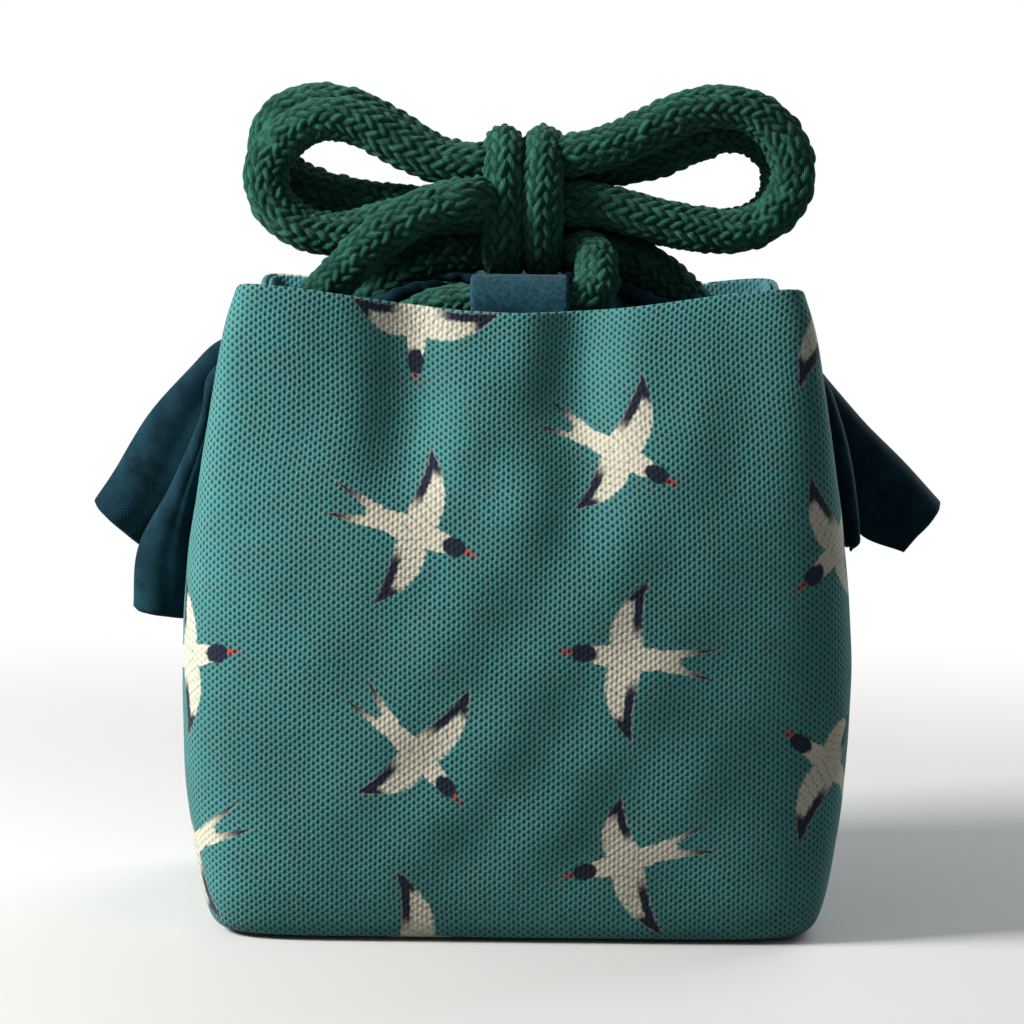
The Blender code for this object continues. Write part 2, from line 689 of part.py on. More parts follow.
def build():
    clear_scene()
    canvas = finish("printed_canvas", CANVAS_TEAL, 0.85)
    wadding = finish("wadding", WADDING_CREAM, 0.95)
    lining = finish("lining_cloth", LINING_TEAL, 0.8)
    board = finish("board", BOARD_GREY, 0.7)
    collar = finish("collar_cloth", COLLAR_BLUE, 0.85)
    felt = finish("felt", FELT_BLUE, 0.95)
    cord = finish("braided_cord", CORD_GREEN, 0.85)
    build_walls(canvas, wadding, lining)
    build_base(canvas, wadding, board, lining)
    for half in HALVES:
        build_collar(collar, half)
        build_tab(felt, half)
    build_saddle(collar, "left", -1)
    build_saddle(collar, "right", 1)
    centre_x, centre_y, _ = KNOT_CENTRE
    bow_pivot = pivot_at("bow_axis", (0.0, centre_y, RIM_HEIGHT - BOW_AXIS_DROP))
    loop_axis_height = RIM_HEIGHT + LOOP_AXIS_RISE
    left_axis = (centre_x - KNOT_SIDE, centre_y, loop_axis_height)
    right_axis = (centre_x + KNOT_SIDE, centre_y, loop_axis_height)
    left_pivot = pivot_at("left_loop_axis", left_axis, bow_pivot)
    right_pivot = pivot_at("right_loop_axis", right_axis, bow_pivot)
    build_cords(cord, left_pivot, right_pivot)
    build_knot(cord, bow_pivot)
    build_ears(collar)


build()
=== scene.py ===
"""The looks of a padded cloth pouch for a teacup, tied shut with a thick braided cord.

Metres, +Z up, the front facing -Y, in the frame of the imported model. The pouch is put
together from its cord outwards: cord, knot, canvas body, layers inside it, collar, tabs
and ears.
"""

import math

import bpy
import numpy as np
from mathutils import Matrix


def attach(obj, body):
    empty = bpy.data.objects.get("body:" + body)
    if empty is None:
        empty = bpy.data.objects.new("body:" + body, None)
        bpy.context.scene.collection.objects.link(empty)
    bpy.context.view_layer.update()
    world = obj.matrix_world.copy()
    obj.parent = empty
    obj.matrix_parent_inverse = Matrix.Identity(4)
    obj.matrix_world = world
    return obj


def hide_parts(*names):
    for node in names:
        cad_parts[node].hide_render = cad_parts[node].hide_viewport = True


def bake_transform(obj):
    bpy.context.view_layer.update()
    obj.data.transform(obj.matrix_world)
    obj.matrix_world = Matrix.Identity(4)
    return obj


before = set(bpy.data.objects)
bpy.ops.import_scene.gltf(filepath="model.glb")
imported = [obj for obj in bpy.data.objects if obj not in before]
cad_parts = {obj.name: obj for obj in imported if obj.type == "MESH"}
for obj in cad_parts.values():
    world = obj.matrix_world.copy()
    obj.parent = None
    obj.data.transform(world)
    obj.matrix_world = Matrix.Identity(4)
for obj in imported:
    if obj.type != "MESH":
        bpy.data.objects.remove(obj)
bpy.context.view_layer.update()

# The view: a long lens in front of the pouch, a little above its bow and looking down at
# it. The camera is turned by under a degree, as the one that took the photograph was.
MM = 0.001
CAMERA_PLACE = np.array([-1.0, -644.0, 123.3]) * MM
CAMERA_DOWN, CAMERA_ROLL = math.radians(5.0), math.radians(0.6)
FRAME_PIXELS, FOCAL_PIXELS = 1024, 3750
SENSOR_WIDTH, NEAREST_SEEN = 36, 50 * MM


def put(thing, axes, place):
    """Puts an object into the scene at a place, its own three axes along the given ones."""
    turn = np.eye(4)
    turn[:3, :3] = np.column_stack(axes)
    turn[:3, 3] = place
    thing.matrix_world = turn.T.tolist()
    bpy.context.collection.objects.link(thing)


ahead = np.array([0, math.cos(CAMERA_DOWN), -math.sin(CAMERA_DOWN)])
level = np.array([1, 0, 0])
upright = np.cross(level, ahead)
right = math.cos(CAMERA_ROLL) * level + math.sin(CAMERA_ROLL) * upright
camera_up = math.cos(CAMERA_ROLL) * upright - math.sin(CAMERA_ROLL) * level
lens = bpy.data.cameras.new("camera")
lens.sensor_width, lens.clip_start = SENSOR_WIDTH, NEAREST_SEEN
lens.lens = FOCAL_PIXELS / FRAME_PIXELS * SENSOR_WIDTH
camera = bpy.data.objects.new("camera", lens)
put(camera, (right, camera_up, -ahead), CAMERA_PLACE)
bpy.context.scene.camera = camera
bpy.context.scene.view_settings.view_transform = "Standard"

# The light: a soft window at the left, a weak one in front of it, a third behind at the
# right for the far sides, and a pale sky. The floor turns plain white away from the pouch.
LAMP_AIM = np.array([0, 0, 60]) * MM


def unit(vectors):
    """Vectors of length 1, the way that the given ones point."""
    return vectors / np.linalg.norm(vectors, axis=-1, keepdims=True)


def area_light(name, place, size, power, colour):
    """A square lamp at a place, turned to shine at the pouch."""
    lamp = bpy.data.lights.new(name, "AREA")
    lamp.size, lamp.energy, lamp.color = size, power, colour
    way = unit(np.array(place) - LAMP_AIM)
    side = unit(np.cross([0, 0, 1], way))
    put(bpy.data.objects.new(name, lamp), (side, np.cross(way, side), way), place)


area_light("window", (-0.515, -0.18, 0.38), 0.2, 7.6, (1.0, 0.99, 0.97))
area_light("front_fill", (-0.5, -0.9, 0.9), 0.7, 0.8, (0.95, 0.98, 1.0))
area_light("back_fill", (0.46, 0.66, 0.5), 0.7, 5.6, (0.95, 0.98, 1.0))


class Value:
    """A number worked out by a material's nodes, so that sums on it read as plain sums."""

    def __init__(self, tree, socket):
        self.tree, self.socket = tree, socket

    def made(self, operation, *others):
        node = self.tree.nodes.new("ShaderNodeMath")
        node.operation = operation
        for socket, value in zip(node.inputs, (self, *others)):
            feed(value, socket)
        return Value(self.tree, node.outputs[0])

    def __add__(self, other):
        return self.made("ADD", other)

    def __sub__(self, other):
        return self.made("SUBTRACT", other)

    def __mul__(self, other):
        return self.made("MULTIPLY", other)

    def wave(self, length):
        """A cosine of this length."""
        return (self * (2 * math.pi / length)).made("COSINE")

    def rise(self, low, high):
        """0 below low, 1 above high, smooth between."""
        node = self.tree.nodes.new("ShaderNodeMapRange")
        node.interpolation_type = "SMOOTHSTEP"
        for socket, value in zip(node.inputs, (self, low, high)):
            feed(value, socket)
        return Value(self.tree, node.outputs[0])


def feed(value, socket):
    """Sets an input to a number or a colour, or joins it to what another node gives."""
    if isinstance(value, (int, float, tuple)):
        socket.default_value = value
    else:
        tree = socket.id_data
        tree.links.new(value.socket if isinstance(value, Value) else value, socket)


def new_material(name, roughness, specular=0.5, sheen=0.0, sheen_roughness=0.5, tint=(1, 1, 1, 1)):
    """A material, its tree and its Principled shader, whose plain inputs are set."""
    material = bpy.data.materials.new(name)
    material.use_nodes = True
    tree = material.node_tree
    shader = tree.nodes["Principled BSDF"]
    shader.inputs["Roughness"].default_value = roughness
    shader.inputs["Specular IOR Level"].default_value = specular
    shader.inputs["Sheen Weight"].default_value = sheen
    shader.inputs["Sheen Roughness"].default_value = sheen_roughness
    shader.inputs["Sheen Tint"].default_value = tint
    return material, tree, shader


def mix_colours(tree, share, first, second, blend="MIX"):
    """Two colours, mixed or multiplied by a share."""
    node = tree.nodes.new("ShaderNodeMix")
    node.data_type, node.blend_type = "RGBA", blend
    for index, value in ((0, share), (6, first), (7, second)):
        feed(value, node.inputs[index])
    return node.outputs[2]


def noise(tree, coordinates, scale, detail, roughness):
    """Smooth noise from 0 to 1 over some coordinates."""
    node = tree.nodes.new("ShaderNodeTexNoise")
    feed(coordinates, node.inputs["Vector"])
    feed(scale, node.inputs["Scale"])
    feed(detail, node.inputs["Detail"])
    feed(roughness, node.inputs["Roughness"])
    return Value(tree, node.outputs[0])


def finish(tree, shader, colour, height, strength, depth):
    """Gives a shader its colour, and a rough skin as bump of this strength and depth."""
    bump = tree.nodes.new("ShaderNodeBump")
    for name, value in (("Strength", strength), ("Distance", depth), ("Height", height)):
        feed(value, bump.inputs[name])
    feed(bump.outputs[0], shader.inputs["Normal"])
    feed(colour, shader.inputs["Base Color"])


def seen_itself(tree):
    """1 for what the camera sees directly or in a gloss, 0 for what only gives light."""
    ray = tree.nodes.new("ShaderNodeLightPath")
    return Value(tree, ray.outputs["Is Camera Ray"]).made("MAXIMUM", ray.outputs["Is Glossy Ray"])


def show(tree, share, first, second, output):
    """Shows the first node's shader where the share is 0, and the second's where it is 1."""
    mix = tree.nodes.new("ShaderNodeMixShader")
    for socket, value in zip(mix.inputs, (share, first.outputs[0], second.outputs[0])):
        feed(value, socket)
    feed(mix.outputs[0], tree.nodes[output].inputs["Surface"])


FLOOR_HALF = 4.0
WHITE_FROM, WHITE_TO = 0.12, 0.40
FLOOR_AS_SEEN, FLOOR_AS_LIT = (0.60, 0.60, 0.59, 1), (0.22, 0.22, 0.22, 1)
floor_mesh = bpy.data.meshes.new("floor")
corners = [(x * FLOOR_HALF, y * FLOOR_HALF, 0) for x, y in ((-1, -1), (1, -1), (1, 1), (-1, 1))]
floor_mesh.from_pydata(corners, [], [(0, 1, 2, 3)])
floor = bpy.data.objects.new("floor", floor_mesh)
bpy.context.collection.objects.link(floor)
floor_material, tree, shader = new_material("pale_floor", 0.9)
distance = tree.nodes.new("ShaderNodeVectorMath")
distance.operation = "LENGTH"
feed(tree.nodes.new("ShaderNodeTexCoord").outputs["Object"], distance.inputs[0])
away = Value(tree, distance.outputs["Value"]).rise(WHITE_FROM, WHITE_TO)
seen = seen_itself(tree)
feed(mix_colours(tree, seen, FLOOR_AS_LIT, FLOOR_AS_SEEN), shader.inputs["Base Color"])
show(tree, away * seen, shader, tree.nodes.new("ShaderNodeEmission"), "Material Output")
floor_mesh.materials.append(floor_material)

SKY_COLOUR, SKY_STRENGTH = (0.93, 0.97, 1.0, 1), 0.11
sky = bpy.data.worlds.new("sky")
sky.use_nodes = True
tree = sky.node_tree
lit = tree.nodes["Background"]
feed(SKY_COLOUR, lit.inputs["Color"])
feed(SKY_STRENGTH, lit.inputs["Strength"])
shown = tree.nodes.new("ShaderNodeBackground")
feed((1, 1, 1, 1), shown.inputs["Color"])
show(tree, seen_itself(tree), lit, shown, "World Output")
bpy.context.scene.world = sky


# The cord: one thick round braid of soft green cotton, doubled. One strand runs from the
# knot through the front tab and one through the back tab, and the bow has four loop strands.
CORD_DIAMETER = 7.5 * MM
BRAID_RELIEF, TUFT_HEIGHT, LUMP_SPREAD, OVAL_HEIGHT = 0.52 * MM, 0.045 * MM, 0.32 * MM, 0.10 * MM
STRANDS_EACH_WAY = 14
STRAND_WIDTH, STRAND_STEP = 1.6 * MM, 1.7 * MM
BRAID_CELL, BRAID_STEP, BRAID_COLUMNS = 2.2 * MM, 0.27 * MM, 120
END_TAPER = 3.4 * MM
# The points of each stretch of cord, in millimetres.
ROUTES = {
    "front_cord": (
        (-5.6, -14.6, 120.9), (-9.2, -20.0, 120.7), (-14.2, -20.4, 119.6), (-19.5, -21.0, 117.0),
        (-25.0, -21.6, 112.8), (-30.5, -22.6, 107.2), (-35.2, -23.8, 102.2), (-37.4, -25.0, 97.8),
        (-34.0, -26.4, 93.8), (-27.0, -27.0, 95.2), (-20.0, -26.0, 99.0), (-14.4, -24.8, 102.0),
        (-9.4, -24.2, 103.0), (0.0, -24.2, 103.0), (6.0, -24.2, 103.0), (10.4, -23.9, 103.6),
        (12.4, -21.9, 106.3), (12.7, -18.6, 109.4), (12.2, -14.8, 111.4), (8.0, -10.5, 112.8),
    ),
    "back_cord": (
        (-4.6, -9.4, 113.4), (-8.0, -8.6, 112.2), (-13.6, -8.3, 111.7), (-19.5, -7.3, 108.6),
        (-26.0, -3.8, 103.6), (-32.4, 3.4, 99.6), (-35.6, 13.0, 97.4), (-33.4, 21.6, 97.0),
        (-26.0, 26.0, 97.8), (-17.0, 25.2, 101.0), (-9.4, 24.2, 103.0), (0.0, 24.2, 103.0),
        (9.4, 24.2, 103.0), (17.0, 25.2, 101.0), (26.0, 26.0, 97.8), (33.4, 21.6, 97.0),
        (35.6, 13.0, 97.4), (33.0, 3.8, 99.2), (27.8, -3.4, 104.5), (21.4, -6.0, 109.6),
        (14.8, -6.4, 111.7), (8.6, -6.2, 112.1), (4.8, -8.2, 112.0),
    ),
    "left_loop_front": (
        (-4.0, -11.6, 126.0), (-8.0, -12.4, 126.4), (-14.0, -12.4, 127.0), (-20.0, -12.4, 129.6),
        (-26.5, -12.4, 132.8), (-32.6, -12.4, 133.8), (-38.6, -12.4, 131.4), (-42.6, -12.4, 126.2),
        (-41.8, -12.4, 120.0), (-37.4, -12.4, 116.0), (-31.0, -12.4, 114.6), (-23.4, -12.4, 116.2),
        (-15.0, -12.4, 118.4), (-8.0, -12.4, 118.6), (-4.0, -11.6, 118.8),
    ),
    "left_loop_rear": (
        (-4.0, -5.6, 126.0), (-8.0, -4.6, 126.6), (-14.0, -4.6, 127.6), (-20.6, -4.6, 131.2),
        (-28.0, -4.6, 135.2), (-35.4, -4.6, 136.4), (-41.0, -4.6, 133.8), (-42.6, -4.6, 128.8),
        (-39.6, -4.6, 124.2), (-33.0, -4.6, 121.4), (-24.0, -4.6, 119.6), (-15.0, -4.6, 118.8),
        (-8.0, -4.6, 118.6), (-4.0, -5.6, 118.8),
    ),
    "right_loop_front": (
        (4.6, -11.6, 127.4), (8.6, -12.4, 128.2), (15.0, -12.4, 129.8), (21.0, -12.4, 132.4),
        (27.4, -12.4, 135.4), (34.2, -12.4, 136.6), (40.4, -12.4, 134.6), (44.6, -12.4, 129.6),
        (45.4, -12.4, 123.6), (42.0, -12.4, 118.2), (36.0, -12.4, 115.8), (29.0, -12.4, 116.2),
        (21.4, -12.4, 117.8), (14.6, -12.4, 119.6), (8.6, -12.4, 120.2), (4.6, -11.6, 120.2),
    ),
    "right_loop_rear": (
        (4.6, -5.6, 126.2), (8.6, -4.6, 126.6), (15.6, -4.6, 126.8), (22.4, -4.6, 128.2),
        (28.6, -4.6, 130.6), (35.0, -4.6, 132.6), (40.6, -4.6, 131.2), (44.2, -4.6, 126.6),
        (43.6, -4.6, 120.8), (39.6, -4.6, 117.0), (33.6, -4.6, 115.8), (26.0, -4.6, 116.6),
        (16.4, -4.6, 118.4), (8.6, -4.6, 118.8), (4.6, -5.6, 119.0),
    ),
}


def smooth_curve(points, places):
    """Points on a Catmull-Rom curve, read at places counted in the given points."""
    before, after = 2 * points[0] - points[1], 2 * points[-1] - points[-2]
    padded = np.vstack([before, points, after])
    start = np.clip(np.floor(places).astype(int), 0, len(points) - 2)
    t = (places - start)[:, None]
    a, b, c, d = (padded[start + step] for step in range(4))
    bend = (2 * a - 5 * b + 4 * c - d) * t**2 + (3 * b - a - 3 * c + d) * t**3
    return (2 * b + (c - a) * t + bend) / 2


def run_of(points):
    """The distance run along a line of points, at each of them."""
    return np.concatenate([[0], np.cumsum(np.linalg.norm(np.diff(points, axis=0), axis=1))])


def even_route(points, step):
    """A smooth curve through the points, at even steps along it."""
    fine = smooth_curve(points, np.linspace(0, len(points) - 1, 40 * len(points)))
    run = run_of(fine)
    places = np.linspace(0, run[-1], int(run[-1] / step) + 1)
    return np.column_stack([np.interp(places, run, fine[:, axis]) for axis in range(3)])


def ease(low, high, value):
    """0 below low, 1 above high, smooth between."""
    t = np.clip((value - low) / (high - low), 0, 1)
    return t * t * (3 - 2 * t)


def mesh_object(name, points, faces, material):
    """An object from arrays of points and of faces of four or three corners."""
    mesh = bpy.data.meshes.new(name)
    mesh.from_pydata(points.tolist(), [], faces)
    mesh.shade_smooth()
    mesh.materials.append(material)
    piece = bpy.data.objects.new(name, mesh)
    bpy.context.collection.objects.link(piece)
    return piece


def point_values(piece, name, values):
    """A value at each point of a tube, which its material reads, and 0 at its two ends."""
    attribute = piece.data.attributes.new(name, "FLOAT", "POINT")
    attribute.data.foreach_set("value", np.append(values, [0, 0]).astype(np.float32))


def corner_places(piece, places):
    """A UV map in metres from an array of corner places, in the order of the mesh's corners."""
    layer = piece.data.uv_layers.get("cloth") or piece.data.uv_layers.new(name="cloth")
    layer.data.foreach_set("uv", np.asarray(places, np.float32).ravel())


def braid_lumps(across, along):
    """How high a round braid stands at each place, and which strand lies on top there.

    Two families of strands cross at a slant, over two and under two. A place's sum and
    difference of coordinates say which strand of each family it is on, and their whole
    parts say which of the two lies on top. The lump is domed across and along the strand.
    Its own number from 0 to 1, from a sine of its place, makes one lump unlike the next.
    """
    first, second = across + along, across - along
    i, j = np.floor(first), np.floor(second)
    state = np.mod(i + j, 4)
    on_first = state < 2
    wide = np.where(on_first, first - i, second - j) * 2 - 1
    strand = np.where(on_first, i, j)
    start = np.where(on_first, j - state, i - (state - 2))
    run = np.where(on_first, second - start, first - start) / 2
    dome = (1 - wide**2) * (1 - abs(2 * run - 1) ** 2.6)
    around = np.mod(strand + start, 2 * STRANDS_EACH_WAY)
    own = np.mod(43758.5 * np.sin(around * 12.99 + (strand - start) * 78.23 + on_first * 37.7), 1)
    return np.clip(dome, 0, 1) ** 0.8, own, on_first, i, j


def ring_faces(rows, columns):
    """The points' numbers in a stack of rings, those next round, and the faces between."""
    index = np.arange(rows * columns).reshape(rows, columns)
    after = np.roll(index, -1, axis=1)
    quads = np.stack([index[:-1], after[:-1], after[1:], index[1:]], axis=-1)
    return index, after, quads.reshape(-1, 4).tolist()


def swept_tube(name, route, reference, radius, thickness, material):
    """A closed tube whose radius is given at each step of a route, all the way round.

    At each step a ring lies square to the route, its first axis as near to the reference
    direction as that allows. Thickness widens the ring along its first and second axis.
    """
    way = unit(np.gradient(route, axis=0))
    side = unit(reference - (way @ reference)[:, None] * way)
    other = np.cross(way, side)
    rows, columns = radius.shape
    angle = np.linspace(0, 2 * np.pi, columns, endpoint=False)
    rings = (
        route[:, None]
        + (radius * np.cos(angle) * thickness[0])[:, :, None] * side[:, None]
        + (radius * np.sin(angle) * thickness[1])[:, :, None] * other[:, None]
    )
    index, after, quads = ring_faces(rows, columns)
    end = rows * columns
    caps = np.vstack([
        np.column_stack([after[0], index[0], np.full(columns, end)]),
        np.column_stack([index[-1], after[-1], np.full(columns, end + 1)]),
    ])
    skin = np.vstack([rings.reshape(-1, 3), route[:1], route[-1:]])
    piece = mesh_object(name, skin, quads + caps.tolist(), material)
    u = np.append(np.arange(columns), columns) * (2 * np.pi * radius.mean() / columns)
    run = run_of(route)
    corners = np.stack([
        np.stack(np.broadcast_arrays(u[None, c : columns + c], run[r : rows - 1 + r, None]), -1)
        for r, c in ((0, 0), (0, 1), (1, 1), (1, 0))
    ], axis=2).reshape(-1, 2)
    corner_places(piece, np.vstack([corners, np.zeros((len(caps) * 3, 2))]))
    return piece


def closed_share(run, low, high):
    """How far a tube is open at each place of its run: it closes towards both ends."""
    return np.minimum(ease(low, high, run), ease(low, high, run[-1] - run))


def braided_cord(name, points, reference, material, thickness=(1, 1)):
    """A round braid carried along a route, its skin raised by the lumps of its strands.

    Both ends narrow, where they go into the knot. The material reads how high the skin
    stands, and its UV map holds each point's place across and along its own strand.
    """
    route = even_route(points, BRAID_STEP)
    run = run_of(route)
    angle = np.linspace(0, 2 * np.pi, BRAID_COLUMNS, endpoint=False)
    wander = 0.3 * np.sin(run / (7.3 * MM)) + 0.2 * np.sin(run / (3.1 * MM) + 1)
    across = angle / (2 * np.pi) * STRANDS_EACH_WAY + wander[:, None]
    along = (run / BRAID_CELL + 0.25 * np.sin(run / (5.3 * MM)))[:, None] + 0 * across
    height, own = braid_lumps(across + 0.01, along + 0.003)[:2]
    tufts = (
        np.sin(5 * angle + run[:, None] / (0.47 * MM) + 2 * np.sin(run / (1.9 * MM))[:, None])
        + np.sin(13 * angle - run[:, None] / (0.81 * MM) + 3 * np.sin(2 * angle))
    )
    oval = np.sin(run / (4.1 * MM))[:, None] * np.sin(2 * angle + 1)
    radius = CORD_DIAMETER / 2 + BRAID_RELIEF * (height - 0.8)
    radius += OVAL_HEIGHT * oval + TUFT_HEIGHT * tufts + LUMP_SPREAD * (own - 0.5) * height
    radius *= closed_share(run, -END_TAPER, END_TAPER)[:, None]
    piece = swept_tube(name, route, reference, radius, thickness, material)
    point_values(piece, "relief", height)
    point_values(piece, "lump", own)
    step = STRANDS_EACH_WAY / BRAID_COLUMNS
    middle_along = (along[:-1] + along[1:]) / 2
    on_first, i, j = braid_lumps(across[:-1] + step / 2, middle_along)[2:]
    places = []
    for column_step, row_step in ((0, 0), (1, 0), (1, 1), (0, 1)):
        u = across[:-1] + column_step * step
        v = np.where(row_step, along[1:], along[:-1])
        own_across = np.where(on_first, u + v - i, u - v - j) * STRAND_WIDTH
        own_along = np.where(on_first, u - v, u + v) * STRAND_STEP
        places.append(np.stack([own_across, own_along], axis=-1))
    corners = np.stack(places, axis=2).reshape(-1, 2)
    corner_places(piece, np.vstack([corners, np.zeros((2 * BRAID_COLUMNS * 3, 2))]))
    return piece, route


def stands_for(piece, node, body="pouch"):
    """The piece rides on a body and stands in for a CAD node, which it hides."""
    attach(piece, body)
    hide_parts(node)


def limp_cord(route, skip=6):
    """Lists every skip-th point of a route and its last one, and does nothing with them."""
    route[::skip].tolist() + [route[-1].tolist()]


def point_value(tree, name):
    """What point_values gave each point of a piece, as a number for its material."""
    node = tree.nodes.new("ShaderNodeAttribute")
    node.attribute_name = name
    return Value(tree, node.outputs["Fac"])


YARN = 0.42 * MM
cotton, tree, shader = new_material(
    "green_cotton_braid", 0.88, specular=0.08, sheen=0.28, sheen_roughness=0.45,
    tint=(0.35, 0.75, 0.58, 1),
)
place = tree.nodes.new("ShaderNodeTexCoord")
strand = tree.nodes.new("ShaderNodeSeparateXYZ")
feed(place.outputs["UV"], strand.inputs[0])
twist = Value(tree, strand.outputs[1]).made("MULTIPLY_ADD", 0.55, strand.outputs[0])
yarn = (twist * (2 * math.pi / YARN)).made("SINE")
mottle = noise(tree, place.outputs["Object"], 360, 3, 0.65)
fuzz_and_glint = noise(tree, place.outputs["Object"], 1500, 4, 0.75)
# Painted shade and painted light: the braid's valleys are painted darker and its crests lighter,
# from how high the skin stands.
top = point_value(tree, "relief").rise(0.1, 1.0)
green = mix_colours(tree, top, (0.003, 0.028, 0.019, 1), (0.0145, 0.094, 0.064, 1))
# The mottle below is the yarn's own uneven tone. The paler lumps and fuzz specks, kept to the
# crests, are painted highlights.
for share, shade in (
    (mottle.rise(0.36, 0.5) * -0.6 + 0.6, (0.005, 0.040, 0.028, 1)),
    (mottle.rise(0.48, 0.68), (0.029, 0.150, 0.106, 1)),
    (point_value(tree, "lump").rise(0.35, 1.0) * top * 0.5, (0.029, 0.160, 0.112, 1)),
    (fuzz_and_glint.rise(0.50, 0.74) * top * 0.6, (0.060, 0.240, 0.185, 1)),
):
    green = mix_colours(tree, share, green, shade)
green = mix_colours(tree, 1.0, green, yarn * 0.10 + 0.90, "MULTIPLY")
finish(tree, shader, green, fuzz_and_glint * 1.8 + yarn * 0.2, 0.95, 0.30 * MM)

KNOT_CENTRE = np.array([0.3, -9.0, 120.1]) * MM
LOOP_BEND_FROM, LOOP_BEND_TO = 6.5 * MM, 15.0 * MM
for name, points in ROUTES.items():
    reference = (0, 0, 1) if name == "back_cord" else (0, 1, 0)
    cord, route = braided_cord(name, np.array(points) * MM, reference, cotton)
    if name.endswith("_cord"):
        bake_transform(cord)
    else:
        loop, way = name.rpartition("_")[0], np.sign(points[1][0])
        start = (KNOT_CENTRE[0] + way * LOOP_BEND_FROM, 0, 0)
        KNOT_CENTRE[0] + way * LOOP_BEND_TO
        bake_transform(cord)
    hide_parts(name + "_strand")
    limp_cord(route)

# The knot: the same cord wrapped twice round the bow's waist, its two turns side by side
# in front and crossing behind. The strands that it grips are squeezed flat inside it.
KNOT_HEIGHT, KNOT_DEPTH = 26.6 * MM, 22.5 * MM
WRAP_PITCH, CORE_HALF = 6.5 * MM, 7.6 * MM
WRAP_DEGREES, CROSSING_DEGREES = (75, 645), (285, 435)
angle = np.linspace(*WRAP_DEGREES, 60)
wrap_points = np.column_stack([
    KNOT_CENTRE[0] + WRAP_PITCH * (ease(*CROSSING_DEGREES, angle) - 0.5),
    KNOT_CENTRE[1] + (KNOT_DEPTH - CORD_DIAMETER) / 2 * np.cos(np.radians(angle)),
    KNOT_CENTRE[2] + (KNOT_HEIGHT - CORD_DIAMETER) / 2 * np.sin(np.radians(angle)),
])
wrap, route = braided_cord("knot_wrap", wrap_points, (1, 0, 0), cotton, (0.96, 1.03))
stands_for(wrap, "bow_knot_wrap", "bow")
limp_cord(route)
core_points = KNOT_CENTRE + np.linspace(-CORE_HALF, CORE_HALF, 5)[:, None] * [1, 0, 0]
core, route = braided_cord("knot_core", core_points, (0, 1, 0), cotton, (0.88, 1.3))
stands_for(core, "bow_knot_core", "bow")

# The canvas body: cotton canvas with a print of small birds, cut as a front and a back
# half. The two meet at the side seams, which draw in a little, and the wadding behind them
# keeps their faces full. The mouth is drawn in, so soft folds run down from its middle.
POUCH_WIDTH, POUCH_DEPTH, RIM_HEIGHT = 111 * MM, 92 * MM, 107 * MM
SQUARENESS, RIM_SQUARENESS = 9.0, 16.0
BASE_LIFT = 0.3 * MM
CANVAS, WADDING, LINING = 1.0 * MM, 2.5 * MM, 0.8 * MM
GAP = 0.3 * MM
# Each row is a share of half the width and of the height, from the base edge to the rim.
PROFILE_SHARES = np.array([
    (0.822, 0.000), (0.893, 0.009), (0.929, 0.048), (0.960, 0.130), (0.988, 0.240), (1.000, 0.400),
    (0.984, 0.570), (0.948, 0.720), (0.915, 0.830), (0.880, 0.935), (0.843, 1.000),
])
WIDEST_ROW, RIM_ROW = 5.0, 10.0
FRONT_MIDDLE = 1.5 * math.pi
FACE_BULGE, FULL_BELLY = 4.5 * MM, 0.3
PULL_START = 0.55
FRONT_PULL, SIDE_PULL = 5.7 * MM, 3.9 * MM
FRONT_DIP, SIDE_DIP = 4.5 * MM, 13.0 * MM
DRAPE_FOLD, DRAPE_PITCH, DRAPE_RIDGE_X = 1.9 * MM, 28.6 * MM, -4.3 * MM
SEAM_PUCKER, SEAM_PUCKER_WIDTH, SEAM_PUCKER_PITCH = 0.5 * MM, 3.5 * MM, 8.5 * MM


def body_surface(angles, rows):
    """The bag's outer surface on a grid of rows (up) by angles (round, from +X).

    A level is a square with round corners, from the polar form of a superellipse, with a
    front and a back that swell towards their middle. Towards the rim the corners get
    sharper, and the middle of each side leans in and sinks, so that the corners stand up.
    Folds and shallow waves are added square to each face, and the side seams draw in.
    """
    width_share, height_share = smooth_curve(PROFILE_SHARES, rows).T[:, :, None]
    drawn = ease(PULL_START, 1.0, height_share)
    power = SQUARENESS + (RIM_SQUARENESS - SQUARENESS) * drawn
    cosine, sine = np.cos(angles)[None, :], np.sin(angles)[None, :]
    reach = (abs(cosine) ** power + abs(sine) ** power) ** (-1 / power)
    across, along = reach * cosine, reach * sine
    x = POUCH_WIDTH / 2 * width_share * across
    plump = ease(0, FULL_BELLY, height_share) * (1 - 0.5 * drawn)
    y = (POUCH_DEPTH / 2 * width_share - FACE_BULGE * plump * across**2) * along
    z = BASE_LIFT + (RIM_HEIGHT - BASE_LIFT) * height_share + 0 * across
    face_middle = np.clip(1 - across**2, 0, 1) ** 2
    side_middle = np.clip(1 - along**2, 0, 1) ** 2
    facing_x = np.where(along < 0, x, -x)
    turn = 2 * np.pi * (facing_x - DRAPE_RIDGE_X) / DRAPE_PITCH
    fold = DRAPE_FOLD * (np.cos(turn) - 0.25 * np.cos(2 * turn)) * ease(0.42, 0.95, height_share)
    waves = (
        0.30 * np.sin(2 * np.pi * (x / 31 + z / 47) / MM + 0.6)
        + 0.22 * np.sin(2 * np.pi * (x / 19 - z / 29 + y / 37) / MM + 1.9)
        + 0.12 * np.sin(2 * np.pi * (z / 13 + y / 61 + x / 70) / MM)
    ) * MM * ease(0.02, 0.2, height_share)
    pucker = SEAM_PUCKER * np.exp(-((y / SEAM_PUCKER_WIDTH) ** 2)) * ease(0.0, 0.1, height_share)
    pucker = pucker * (1 + 0.5 * np.cos(2 * np.pi * z / SEAM_PUCKER_PITCH))
    y = y - along * face_middle * (FRONT_PULL * drawn - fold + waves)
    x = x - across * side_middle * (SIDE_PULL * drawn + waves) - np.sign(across) * pucker
    sunk = FRONT_DIP * face_middle * abs(along) + SIDE_DIP * side_middle * abs(across)
    return np.stack([x, y, z - sunk * drawn], axis=-1)


